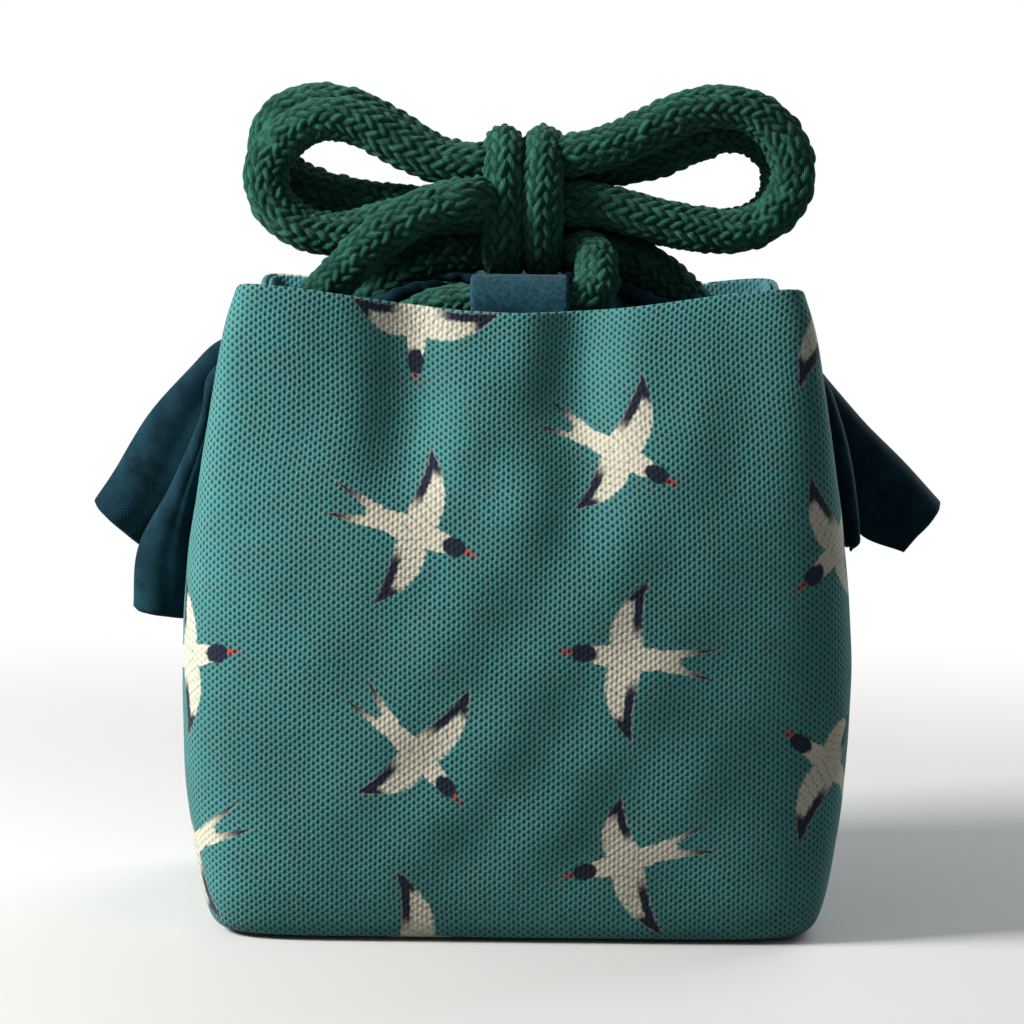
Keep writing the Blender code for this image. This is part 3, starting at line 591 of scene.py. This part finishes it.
def body_layer(angles, rows, depth):
    """The surface that lies depth inside the bag's outer one, measured square to it."""
    step = 1e-3
    inner_rows = np.clip(rows, step, RIM_ROW - step)
    round_way = body_surface(angles + step, rows) - body_surface(angles - step, rows)
    up_way = body_surface(angles, inner_rows + step) - body_surface(angles, inner_rows - step)
    normal = unit(np.cross(round_way, up_way))
    depth = np.broadcast_to(depth, rows.shape)
    return body_surface(angles, rows) - normal * depth[:, None, None]


def edged_places(length, step, half):
    """Even places from 0 to a length, with close ones at both ends for a rounded edge."""
    edge = half * (1 - np.cos(np.linspace(0, np.pi / 2, 5)))[:-1]
    flat = np.linspace(half, length - half, max(int((length - 2 * half) / step), 2) + 1)
    return np.concatenate([edge, flat, length - edge[::-1]])


def half_angles(first, step, half):
    """Angles of one half of the bag, from seam to seam, even along its widest row."""
    fine = first + np.linspace(0, math.pi, 3000)
    run = run_of(body_surface(fine, np.array([WIDEST_ROW]))[0])
    return np.interp(edged_places(run[-1], step, half), run, fine)


def wall_rows(first, last, step, half):
    """Rows of the bag that are even up the middle of its front, closer at both edges."""
    fine = np.linspace(first, last, 2000)
    run = run_of(body_surface(np.array([FRONT_MIDDLE]), fine)[:, 0])
    return np.interp(edged_places(run[-1], step, half), run, fine)


def cloth_places(middle):
    """Each point's place on the flat cloth: along its row from the middle, and up the middle."""
    along = np.linalg.norm(np.diff(middle, axis=1), axis=2).cumsum(axis=1)
    along = np.pad(along, ((0, 0), (1, 0)))
    centre = middle.shape[1] // 2
    up = run_of(middle[:, centre])
    return along - along[:, centre : centre + 1], np.broadcast_to(up[:, None], along.shape)


def cloth_shell(name, middle, thickness, material, print_shift=0.0):
    """A closed piece of cloth about a grid of points, its edges rounded.

    The two skins lie half the thickness from the middle surface. Near an edge that distance
    falls as in a half circle, and the skins share the points of the edge itself. The shift
    says where along its roll the cloth was cut, so that two pieces needn't look alike.
    """
    normal = unit(np.cross(np.gradient(middle, axis=1), np.gradient(middle, axis=0)))
    u, v = cloth_places(middle)
    half = thickness / 2
    inward = np.minimum(
        np.minimum(u - u[:, :1], u[:, -1:] - u), np.minimum(v - v[:1], v[-1:] - v)
    )
    offset = normal * (half * np.sqrt(1 - (1 - np.clip(inward / half, 0, 1)) ** 2))[:, :, None]
    rows, columns = u.shape
    edge = np.ones((rows, columns), bool)
    edge[1:-1, 1:-1] = False
    over = np.arange(rows * columns).reshape(rows, columns)
    under = np.where(edge, over, over.max() + (~edge).ravel().cumsum().reshape(rows, columns))
    points = np.concatenate([(middle + offset).reshape(-1, 3), (middle - offset)[~edge]])
    place = np.stack([u + print_shift, v], axis=-1)
    faces, places = [], []
    for index, way in ((over, 1), (under, -1)):
        corners = ((0, 0), (0, 1), (1, 1), (1, 0))[::way]
        ends = [(slice(r, rows - 1 + r), slice(c, columns - 1 + c)) for r, c in corners]
        faces.append(np.stack([index[end] for end in ends], axis=-1).reshape(-1, 4))
        places.append(np.stack([place[end] for end in ends], axis=2).reshape(-1, 2))
    piece = mesh_object(name, points, np.concatenate(faces).tolist(), material)
    corner_places(piece, np.concatenate(places))
    return piece, (float(np.ptp(u)), float(np.ptp(v)))


def cloth_place(tree):
    """A place on the flat cloth: across and up it in millimetres, and as coordinates."""
    place = tree.nodes.new("ShaderNodeUVMap")
    place.uv_map = "cloth"
    parts = tree.nodes.new("ShaderNodeSeparateXYZ")
    feed(place.outputs[0], parts.inputs[0])
    across, up = (Value(tree, parts.outputs[axis]) * (1 / MM) for axis in range(2))
    return across, up, place.outputs[0]


def chance(tree, across, up, seed):
    """Three numbers from 0 to 1 that are the same all over one cell of a grid."""
    cell = tree.nodes.new("ShaderNodeCombineXYZ")
    for socket, value in zip(cell.inputs, (across, up, seed)):
        feed(value, socket)
    drawn = tree.nodes.new("ShaderNodeTexWhiteNoise")
    feed(cell.outputs[0], drawn.inputs[0])
    parts = tree.nodes.new("ShaderNodeSeparateColor")
    feed(drawn.outputs["Color"], parts.inputs[0])
    return [Value(tree, parts.outputs[channel]) for channel in range(3)]


BIRD_CELL = (37.0, 34.0)
BIRD_JITTER = 6.0
BIRD_SCALE = 1.35
WING_SPAN = 10.3
PRINT_EDGE = 0.22
PLAIN_GROUND_BELOW = 0.24


def bird_print(tree, across, up, place):
    """Shares of cream, of navy and of red in the print, at a place in millimetres.

    The cloth is divided into cells, each second column half a cell lower. Most cells hold
    one bird seen from above, moved and turned by chance. Its wings lie between two curved
    lines that meet at the tips, its body is an ellipse and its tail forks in two.
    """
    column = (across * (1 / BIRD_CELL[0])).made("FLOOR")
    odd = column.made("PINGPONG", 1.0)
    lifted = up + odd * (BIRD_CELL[1] / 2)
    row = (lifted * (1 / BIRD_CELL[1])).made("FLOOR")
    move_x, move_y, turn = chance(tree, column, row, 3.0)
    present, uneven, _ = chance(tree, column, row, 8.0)
    x = (across - (column + 0.5) * BIRD_CELL[0] - (move_x - 0.5) * BIRD_JITTER) * (1 / BIRD_SCALE)
    y = (lifted - (row + 0.5) * BIRD_CELL[1] - (move_y - 0.5) * BIRD_JITTER) * (1 / BIRD_SCALE)
    x = x + (noise(tree, place, 900, 2, 0.6) - 0.5) * 0.7
    y = y + (noise(tree, place, 1100, 2, 0.6) - 0.5) * 0.7
    turn = turn * (2 * math.pi)
    cosine, sine = turn.made("COSINE"), turn.made("SINE")
    forward, side = x * cosine + y * sine, y * cosine - x * sine
    wing = side.made("MAXIMUM", side * (uneven * 0.35 + 1.0) * -1.0)
    leading = wing * 0.45 - wing * wing * 0.075 + 2.2
    trailing = wing * 0.25 - wing * wing * 0.020 - 1.6
    within = (leading - forward).rise(-PRINT_EDGE, PRINT_EDGE)
    within = within * (forward - trailing).rise(-PRINT_EDGE, PRINT_EDGE)
    within = within * (wing * -1.0 + WING_SPAN).rise(0, PRINT_EDGE)
    lengthways = (forward - 0.3) * (1 / 6.2)
    body = lengthways * lengthways * -1.0 - wing * wing * (1 / 2.3) + 1.0
    body = body.rise(-0.1, 0.1)
    behind = forward * -1.0 - 4.0
    streamer = behind * -0.11 + 0.75 - (wing - behind * 0.22 - 0.6).made("ABSOLUTE")
    streamer = streamer.rise(-0.12, 0.12) * behind.rise(-0.6, 0.0)
    hind = (trailing + 1.1 - forward).rise(-0.2, 0.2) * wing.rise(2.0, 4.5)
    tips = wing.rise(6.9, 7.9).made("MAXIMUM", hind)
    ahead = (forward - 5.7) * 0.75
    cap = (ahead * ahead + wing * wing).made("SQRT")
    cap = (cap * -1.0 + 1.15).rise(-0.15, 0.15)
    beak = (forward * -0.2 + 1.9 - wing).rise(0, 0.2) * (forward - 7.0).rise(0, 0.3)
    feathers = (wing + forward * 0.45).wave(1.25).rise(0.72, 1.0) * within
    shown = present.rise(PLAIN_GROUND_BELOW, PLAIN_GROUND_BELOW + 0.001)
    pale = within.made("MAXIMUM", body).made("MAXIMUM", streamer)
    dark = (within * tips).made("MAXIMUM", cap).made("MAXIMUM", streamer * behind.rise(1, 5))
    pale = pale - feathers * 0.35
    return pale * shown, dark * shown, beak * shown


# Holes of the weave stand in staggered columns, darkened in the colour as painted shade between
# the threads. Ink fills most of them and evens the skin.
HOLE_COLUMNS, HOLE_ROWS = 1.55, 1.14
CREAM, NAVY, RED = (0.60, 0.56, 0.45, 1), (0.012, 0.016, 0.032, 1), (0.50, 0.05, 0.04, 1)


def canvas_material(name, ground, hole, printed=False):
    """Coarse plain-woven cotton canvas, with the birds printed on it or without them."""
    material, tree, shader = new_material(
        name, 0.82, specular=0.12, sheen=0.2, sheen_roughness=0.4, tint=(0.6, 0.95, 0.92, 1)
    )
    across, up, place = cloth_place(tree)
    drift = noise(tree, place, 210, 3, 0.6) - 0.5
    thread_and_glint = noise(tree, place, 2400, 2, 0.6)
    cloud = noise(tree, place, 55, 3, 0.55)
    worn = noise(tree, place, 240, 3, 0.6)
    columns = (across + drift * 0.6).wave(HOLE_COLUMNS)
    net = columns * (up + drift * 0.5).wave(HOLE_ROWS) + (columns * columns - 1.0) * 0.9
    holes = (net + (thread_and_glint - 0.5) * 0.8 + (worn - 0.5) * 0.7).rise(-0.55, 0.5)
    relief = thread_and_glint * 0.7 - net * 0.6
    colour = ground
    # The darker cloud and the worn patches are the cloth's own tone. The lighter specks on the
    # threads are painted highlights where they cross.
    for share, factors in (
        (cloud.rise(0.3, 0.7), (0.78, 0.78, 0.78)),
        (worn.rise(0.42, 0.7) * 0.55, (1.35, 0.80, 0.78)),
        (thread_and_glint.rise(0.45, 0.8) * 0.35, (1.6, 1.6, 1.6)),
    ):
        shade = tuple(part * factor for part, factor in zip(ground, factors)) + (1,)
        colour = mix_colours(tree, share, colour, shade)
    if printed:
        pale, dark, red = bird_print(tree, across, up, place)
        for share, ink in ((pale, CREAM), (dark, NAVY), (red, RED)):
            colour = mix_colours(tree, share, colour, ink)
        inked = pale.made("MAXIMUM", dark)
        holes = holes * (inked * -0.82 + 1.0)
        relief = relief * (inked * -0.4 + 1.0)
    # The holes darken the colour: painted shade in the gaps of the weave.
    shade = mix_colours(tree, holes, (1, 1, 1, 1), hole)
    colour = mix_colours(tree, 1.0, colour, shade, "MULTIPLY")
    finish(tree, shader, colour, relief, 0.8, 0.2 * MM)
    return material


# The angle of the seam where each half begins, and how far along the roll its cloth was cut.
HALVES = {"front": math.pi, "back": 0.0}
CUT_SHIFTS = {"front": 0.0, "back": 752 * MM}
printed_canvas = canvas_material(
    "printed_canvas", (0.067, 0.240, 0.234, 1), (0.09, 0.27, 0.29, 1), printed=True
)
for half, first in HALVES.items():
    angles = half_angles(first, 0.8 * MM, CANVAS / 2)
    rows = wall_rows(0, RIM_ROW, 0.7 * MM, CANVAS / 2)
    wall = body_layer(angles, rows, CANVAS / 2)
    piece, flat = cloth_shell("canvas_" + half, wall, CANVAS, printed_canvas, CUT_SHIFTS[half])
    stands_for(piece, "outer_" + half)

# Inside the canvas: a soft wadding, a thin cotton lining, and at the mouth a canvas facing
# that is sewn to the canvas along the rim and covers the top edge of both.
WADDING_DEPTH = CANVAS + GAP
LINING_DEPTH = WADDING_DEPTH + WADDING + GAP
LINING_ROW, SEAM_ROW, WADDING_ROW = 7.97, 8.0, 9.0
RIM_GAP = 0.1 * MM


def facing_depth_at(rows):
    """The facing lies over the wadding, and above it closes up to the outer canvas."""
    return np.interp(rows, (WADDING_ROW, RIM_ROW), (LINING_DEPTH, CANVAS + RIM_GAP))


def fibre_material(name, dark, light, roughness, scale, height):
    """Matt fibre, a little uneven in colour, with a fine rough skin."""
    material, tree, shader = new_material(name, roughness, specular=0.08, sheen=0.12)
    place = tree.nodes.new("ShaderNodeTexCoord").outputs["Object"]
    fibre = noise(tree, place, scale, 4, 0.7)
    cloud = noise(tree, place, scale / 14, 3, 0.6)
    tone = mix_colours(tree, cloud.rise(0.3, 0.7), dark, light)
    tone = mix_colours(tree, fibre.rise(0.35, 0.75) * 0.6, tone, light)
    finish(tree, shader, tone, fibre, 0.7, height)
    return material


wadding_fibre = fibre_material(
    "cream_wadding", (0.341, 0.319, 0.264, 1), (0.85, 0.841, 0.696, 1), 0.95, 1500, 0.3 * MM
)
facing_canvas = canvas_material("facing_canvas", (0.062, 0.225, 0.245, 1), (0.72, 0.80, 0.82, 1))
lining_cotton = canvas_material("lining_cotton", (0.07, 0.21, 0.25, 1), (0.6, 0.65, 0.68, 1))
for half, first in HALVES.items():
    for layer, slot, low, high, depth, thickness, material, step in (
        ("wadding_", "wadding", 0, WADDING_ROW, WADDING_DEPTH, WADDING, wadding_fibre, 1.6 * MM),
        ("lining_", "lining_cloth", 0, LINING_ROW, LINING_DEPTH, LINING, lining_cotton, 1.4 * MM),
        ("facing_", "printed_canvas", SEAM_ROW, RIM_ROW, None, LINING, facing_canvas, 0.8 * MM),
    ):
        angles = half_angles(first, step, thickness / 2)
        rows = wall_rows(low, high, step, thickness / 2)
        depth = facing_depth_at(rows) if depth is None else depth
        wall = body_layer(angles, rows, depth + thickness / 2)
        piece, flat = cloth_shell(layer + half + "_layer", wall, thickness, material)
        stands_for(piece, layer + half)
        slot == "wadding"

# The base: four square plates with round corners, one on another. Canvas below, then
# wadding, a stiff grey board that keeps the pouch flat to stand on, and the lining.
BOARD = 1.2 * MM
FLAT_RINGS = 40
base_angles = np.linspace(0, 2 * np.pi, 240, endpoint=False)
base_outline = body_surface(base_angles, np.array([0.0]))[0][:, :2]
base_outline = base_outline * (1 - GAP / np.abs(base_outline).max(axis=0))
grey_board = fibre_material(
    "grey_board", (0.1375, 0.132, 0.121, 1), (0.3625, 0.348, 0.319, 1), 0.8, 900, 0.05 * MM
)


def square_plate(name, low, thickness, material):
    """A closed plate with a rounded edge: rings of points from its middle out and back."""
    half = thickness / 2
    turn = np.linspace(-np.pi / 2, np.pi / 2, 7)
    edge = np.abs(base_outline).max()
    flat, even = np.linspace(edge * 0.98, half * 1.2, FLAT_RINGS), np.ones(FLAT_RINGS)
    inset = np.concatenate([flat, half * (1 - np.cos(turn)), flat[::-1]])
    level = low + half + half * np.concatenate([-even, np.sin(turn), even])
    outlines = base_outline * (1 - inset[:, None, None] / edge)
    rings = np.dstack([outlines, np.broadcast_to(level[:, None], outlines.shape[:2])])
    index, _, quads = ring_faces(*outlines.shape[:2])
    faces = quads + [index[0][::-1].tolist(), index[-1].tolist()]
    points = rings.reshape(-1, 3)
    piece = mesh_object(name, points, faces, material)
    corner_places(piece, points[np.concatenate(faces)][:, :2])
    return piece


level = 0.0
for node, thickness, slot, material in (
    ("outer_base", CANVAS, "printed_canvas", printed_canvas),
    ("wadding_base", WADDING, "wadding", wadding_fibre),
    ("base_board", BOARD, "board", grey_board),
    ("lining_base", LINING, "lining_cloth", lining_cotton),
):
    piece = square_plate(node + "_plate", level, thickness, material)
    stands_for(piece, node)
    if node == "wadding_base":
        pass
    elif slot != "board":
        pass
    level += thickness + GAP

# The collar: dark blue cotton, sewn in below the facing and gathered towards the mouth. A
# thin piped hem runs along the top edge of its front and back.
COLLAR_CLOTH = 1.2 * MM
COLLAR_HALF_WIDTH, COLLAR_TOP, COLLAR_TOP_DEPTH = 29.5 * MM, 100 * MM, 14.5 * MM
COLLAR_SWELL, COLLAR_BELLY, COLLAR_LEAN = 4.0 * MM, 5.0 * MM, 0.35
COLLAR_ROOT_ROW = 7.4
GATHER, GATHER_PITCH = 0.7 * MM, 6.2 * MM
BACK_STAND, BACK_STAND_WIDTH = 3.6 * MM, 14 * MM
HEM_DIAMETER, HEM_TAPER = 2.4 * MM, 1.0 * MM


def turned(points, half):
    """Points worked out for the front, or turned half round for the back."""
    return points if half == "front" else points * [-1, -1, 1]


DARK_BLUE, LIGHT_BLUE = (0.0025, 0.012, 0.018, 1), (0.0085, 0.038, 0.056, 1)
COTTON_WEAVE = 0.62
blue_cotton, tree, shader = new_material(
    "blue_cotton", 0.85, specular=0.05, sheen=0.07, sheen_roughness=0.4, tint=(0.3, 0.75, 0.95, 1)
)
across, up, place = cloth_place(tree)
slub = noise(tree, place, 1500, 3, 0.7)
weave = across.wave(COTTON_WEAVE) * up.wave(COTTON_WEAVE)
cloud = noise(tree, place, 140, 4, 0.6).rise(0.3, 0.7)
blue = mix_colours(tree, cloud, DARK_BLUE, LIGHT_BLUE)
blue = mix_colours(tree, slub.rise(0.4, 0.75) * 0.4, blue, LIGHT_BLUE)
blue = mix_colours(tree, weave.rise(0.1, 0.9) * 0.45, blue, DARK_BLUE)
finish(tree, shader, blue, slub * 1.2 - weave * 0.5, 0.6, 0.1 * MM)

across = edged_places(2 * COLLAR_HALF_WIDTH, 0.6 * MM, COLLAR_CLOTH / 2) - COLLAR_HALF_WIDTH
swell = COLLAR_SWELL * np.sin(np.pi * across / COLLAR_HALF_WIDTH) ** 2
collar_edge = np.column_stack([across, 0 * across - COLLAR_TOP_DEPTH, COLLAR_TOP + swell])
root_angle = FRONT_MIDDLE + np.arctan(across / (POUCH_WIDTH / 2 * PROFILE_SHARES[7][0]))
root_depth = LINING_DEPTH + LINING + GAP + COLLAR_CLOTH / 2
root = body_layer(root_angle, np.array([COLLAR_ROOT_ROW]), root_depth)[0]
belly = root * [1, 0, 1] + [0, -COLLAR_TOP_DEPTH, 0]
belly += (root[:, 1:2] + COLLAR_TOP_DEPTH) * [0, COLLAR_LEAN, 0] + [0, 0, COLLAR_BELLY]
up = edged_places(1.0, 0.022, 0.022)[:, None, None]
collar = (1 - up) ** 2 * root + 2 * up * (1 - up) * belly + up**2 * collar_edge
phase = 2 * np.pi * across / GATHER_PITCH + 1.3 * np.sin(2 * np.pi * across / (27 * MM))
ripple = GATHER * np.sin(phase) * up[:, :, 0] ** 1.5
collar[:, :, 1] += ripple
for half in HALVES:
    if half == "back":
        stand = np.exp(-((across / BACK_STAND_WIDTH) ** 2))
        collar[:, :, 2] += BACK_STAND * stand * up[:, :, 0] ** 2
    middle = turned(collar, half)
    piece, flat = cloth_shell("collar_%s_cloth" % half, middle, COLLAR_CLOTH, blue_cotton)
    stands_for(piece, "collar_" + half)
    lift = COLLAR_CLOTH / 2 + HEM_DIAMETER / 2
    route = even_route(turned(collar[-1] + [0, 0, lift], half)[::6], 0.3 * MM)
    around = np.linspace(0, 2 * np.pi, 24, endpoint=False)
    run = run_of(route)
    closed = closed_share(run, -HEM_TAPER, HEM_DIAMETER)
    pinch = 1 + 0.10 * np.sin(2 * np.pi * run / (3.1 * MM) + 0.8 * np.sin(run / (5 * MM)))
    radius = (HEM_DIAMETER / 2 * closed * pinch)[:, None] * (1 + 0.05 * np.cos(3 * around))
    hem = swept_tube("collar_hem_%s_piping" % half, route, (0, 0, 1), radius, (1, 1), blue_cotton)
    stands_for(hem, "collar_hem_" + half)
    limp_cord(route, skip=8)

# The saddles: at each side the collar's cloth climbs inside the wall, folds over the rim and
# ends just outside, where the ears hang from it.
SADDLE_HALF_TURN = math.radians(22.7)
SKIRT_ROWS, SADDLE_STEPS = 0.2, 90
SADDLE_WAVE, SADDLE_WAVES = 0.35 * MM, 5
clear = GAP + COLLAR_CLOTH / 2
for side, middle_turn in (("left", math.pi), ("right", 0.0)):
    angles = middle_turn + np.linspace(-SADDLE_HALF_TURN, SADDLE_HALF_TURN, 64)
    inside_rows = np.array([COLLAR_ROOT_ROW, SEAM_ROW, WADDING_ROW, 9.5])
    inside = body_layer(angles, inside_rows, facing_depth_at(inside_rows) + LINING + clear)
    rim = np.array([RIM_ROW])
    inner_lip = body_layer(angles, rim, WADDING_DEPTH + LINING + clear)[0]
    outer_lip = body_layer(angles, rim, -clear)[0]
    skirt = body_layer(angles, rim - SKIRT_ROWS, -clear)[0]
    upward = unit(outer_lip - skirt)
    crown = (inner_lip + outer_lip) / 2 + upward * (clear + COLLAR_CLOTH)
    lift = upward * clear * 1.2
    rows = np.concatenate([inside, [inner_lip + lift, crown, outer_lip + lift, skirt]])
    places = np.linspace(0, len(rows) - 1, SADDLE_STEPS)
    middle = smooth_curve(rows.reshape(len(rows), -1), places).reshape(SADDLE_STEPS, -1, 3)
    fold = np.sin(2 * np.pi * np.linspace(0, SADDLE_WAVES, len(angles)))
    middle[:, :, 2] += SADDLE_WAVE * fold * np.linspace(0, 1, SADDLE_STEPS)[:, None]
    piece, flat = cloth_shell("collar_%s_saddle" % side, middle, COLLAR_CLOTH, blue_cotton)
    stands_for(piece, "collar_" + side)

# The tabs: blue felt strips in the middle of the front and back rim. Each climbs the facing,
# goes round the cord and comes back down beside itself.
TAB_WIDTH, FELT = 16.2 * MM, 1.4 * MM
TAB_WANDER, TAB_WANDER_STEP = 0.15 * MM, 4 * MM
blue_felt, tree, shader = new_material("blue_felt", 0.95, specular=0.08, sheen=0.06)
place = tree.nodes.new("ShaderNodeTexCoord").outputs["Object"]
fleck = noise(tree, place, 1200, 4, 0.75).rise(0.36, 0.62)
fleck = mix_colours(tree, fleck, (0.0055, 0.033, 0.050, 1), (0.019, 0.072, 0.096, 1))
finish(tree, shader, fleck, noise(tree, place, 1500, 4, 0.7), 0.7, 0.16 * MM)
tail_rows = np.array([8.5, 9.0, 9.4])
tail_angles = FRONT_MIDDLE + np.arctan(np.linspace(-1, 1, 7) * TAB_WIDTH / POUCH_WIDTH)
facing = body_layer(tail_angles, tail_rows, facing_depth_at(tail_rows) + LINING + GAP + FELT / 2)
tail = np.column_stack([facing[:, :, 1].max(axis=1), facing[:, :, 2].mean(axis=1)])
turn = np.radians(np.linspace(190, -70, 14))
in_tab = np.array(min(ROUTES["front_cord"], key=lambda point: abs(point[0]))) * MM
reach = CORD_DIAMETER / 2 + GAP + FELT / 2
ring = in_tab[1:] + reach * np.column_stack([np.cos(turn), np.sin(turn)])
loop = np.vstack([tail, ring, tail[1::-1] + [FELT + GAP, 0]])
path = even_route(loop @ [[0, 1, 0], [0, 0, 1]], 0.4 * MM)
across = edged_places(TAB_WIDTH, 0.5 * MM, FELT / 2) - TAB_WIDTH / 2
strip = path[:, None] + across[None, :, None] * [1, 0, 0]
strip[:, :, 0] += TAB_WANDER * np.sin(run_of(path) / TAB_WANDER_STEP)[:, None]
for half in HALVES:
    middle = turned(strip, half)
    piece, flat = cloth_shell(half + "_felt_tab", middle, FELT, blue_felt)
    stands_for(piece, half + "_tab")

# The ears: two leaves of the collar's cotton at each side, each folded double. The fold is
# the leaf's outer edge, its two plies part towards the body, and soft creases run down it.
EAR_CLOTH = 1.2 * MM
EAR_REACH, EAR_DROP, EAR_SPREAD = 27.8 * MM, 36.0 * MM, 4.0 * MM
EAR_AXIS_HEIGHT = RIM_HEIGHT - SIDE_DIP + 2.0 * MM
EAR_AXIS_REACH = POUCH_WIDTH / 2 * PROFILE_SHARES[-1][0] - SIDE_PULL + 2.7 * MM
EAR_BEND_FROM, EAR_BEND_TO, EAR_BEND_FALL = -1 * MM, 4 * MM, 5 * MM
LEAF_PLACE = 17 * MM
LEAF_CREASE, LEAF_BILLOW, LEAF_FOLD_SHARE = 1.0 * MM, 3.4 * MM, 0.05
LEAF_LEVEL_SHARES = {"rear": 0.38, "front": -0.52}
# A leaf's outer then inner edge at six levels from hinge to hem, as shares of its reach and drop.
LEAF_SHARES = {
    "left_ear_rear_leaf": (
        ((0.00, 0.00), (0.00, 0.09)), ((0.22, 0.02), (0.18, 0.27)), ((0.41, 0.16), (0.28, 0.45)),
        ((0.66, 0.38), (0.36, 0.65)), ((0.87, 0.65), (0.49, 0.84)), ((1.00, 0.80), (0.71, 1.00)),
    ),
    "left_ear_front_leaf": (
        ((0.00, 0.03), (0.00, 0.12)), ((0.23, 0.15), (0.19, 0.33)), ((0.28, 0.34), (0.30, 0.60)),
        ((0.46, 0.67), (0.365, 0.82)), ((0.66, 0.97), (0.37, 1.06)), ((0.69, 1.26), (0.38, 1.30)),
    ),
    "right_ear_rear_leaf": (
        ((0.00, 0.01), (0.00, 0.10)), ((0.15, 0.07), (0.18, 0.30)), ((0.30, 0.20), (0.28, 0.48)),
        ((0.52, 0.39), (0.37, 0.68)), ((0.76, 0.57), (0.49, 0.90)), ((1.00, 0.77), (0.77, 0.99)),
    ),
    "right_ear_front_leaf": (
        ((0.00, 0.03), (0.00, 0.12)), ((0.20, 0.14), (0.17, 0.33)), ((0.30, 0.32), (0.25, 0.50)),
        ((0.37, 0.52), (0.31, 0.66)), ((0.41, 0.72), (0.36, 0.80)), ((0.43, 0.90), (0.39, 0.95)),
    ),
}
for node, shares in LEAF_SHARES.items():
    side_name, _, leaf, _ = node.split("_")
    side = -1 if side_name == "left" else 1
    rows, columns = 96, 131
    down = np.linspace(0, 1, rows)[:, None]
    edges = smooth_curve(np.array(shares).reshape(6, 4), down[:, 0] * 5).reshape(rows, 2, 2)
    ply = np.linspace(-1, 1, columns)[None, :]
    inward = np.hypot(ply, LEAF_FOLD_SHARE) - LEAF_FOLD_SHARE
    inward = inward / inward.max()
    flat_place = edges[:, :1] * (1 - inward[:, :, None]) + edges[:, 1:] * inward[:, :, None]
    parted = 0.45 - 0.45 * np.exp(-inward / 0.1) + 0.55 * inward**3
    spread = EAR_SPREAD * (0.45 + 0.55 * down) * parted
    crease = LEAF_CREASE * down**0.7 * inward * (
        np.sin(2 * np.pi * (1.05 * inward + 0.30 * down + 0.1 * side))
        + 0.35 * np.sin(2 * np.pi * (2.2 * inward - 0.4 * down + 0.3))
    )
    billow = LEAF_BILLOW * down**0.6 * np.sin(np.pi * inward**0.5)
    level = LEAF_LEVEL_SHARES[leaf] * LEAF_PLACE + spread * np.sign(ply)
    middle = np.stack([
        side * (EAR_AXIS_REACH + EAR_REACH * flat_place[:, :, 0]),
        level + crease - billow,
        EAR_AXIS_HEIGHT - EAR_DROP * flat_place[:, :, 1],
    ], axis=-1)
    piece, flat = cloth_shell(node + "_cloth", middle, EAR_CLOTH, blue_cotton)
    side_name + "_ear"
    side * (EAR_AXIS_REACH + EAR_BEND_FROM)
    side * (EAR_AXIS_REACH + EAR_BEND_TO)
    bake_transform(piece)
    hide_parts(node)
    "collar_" + side_name
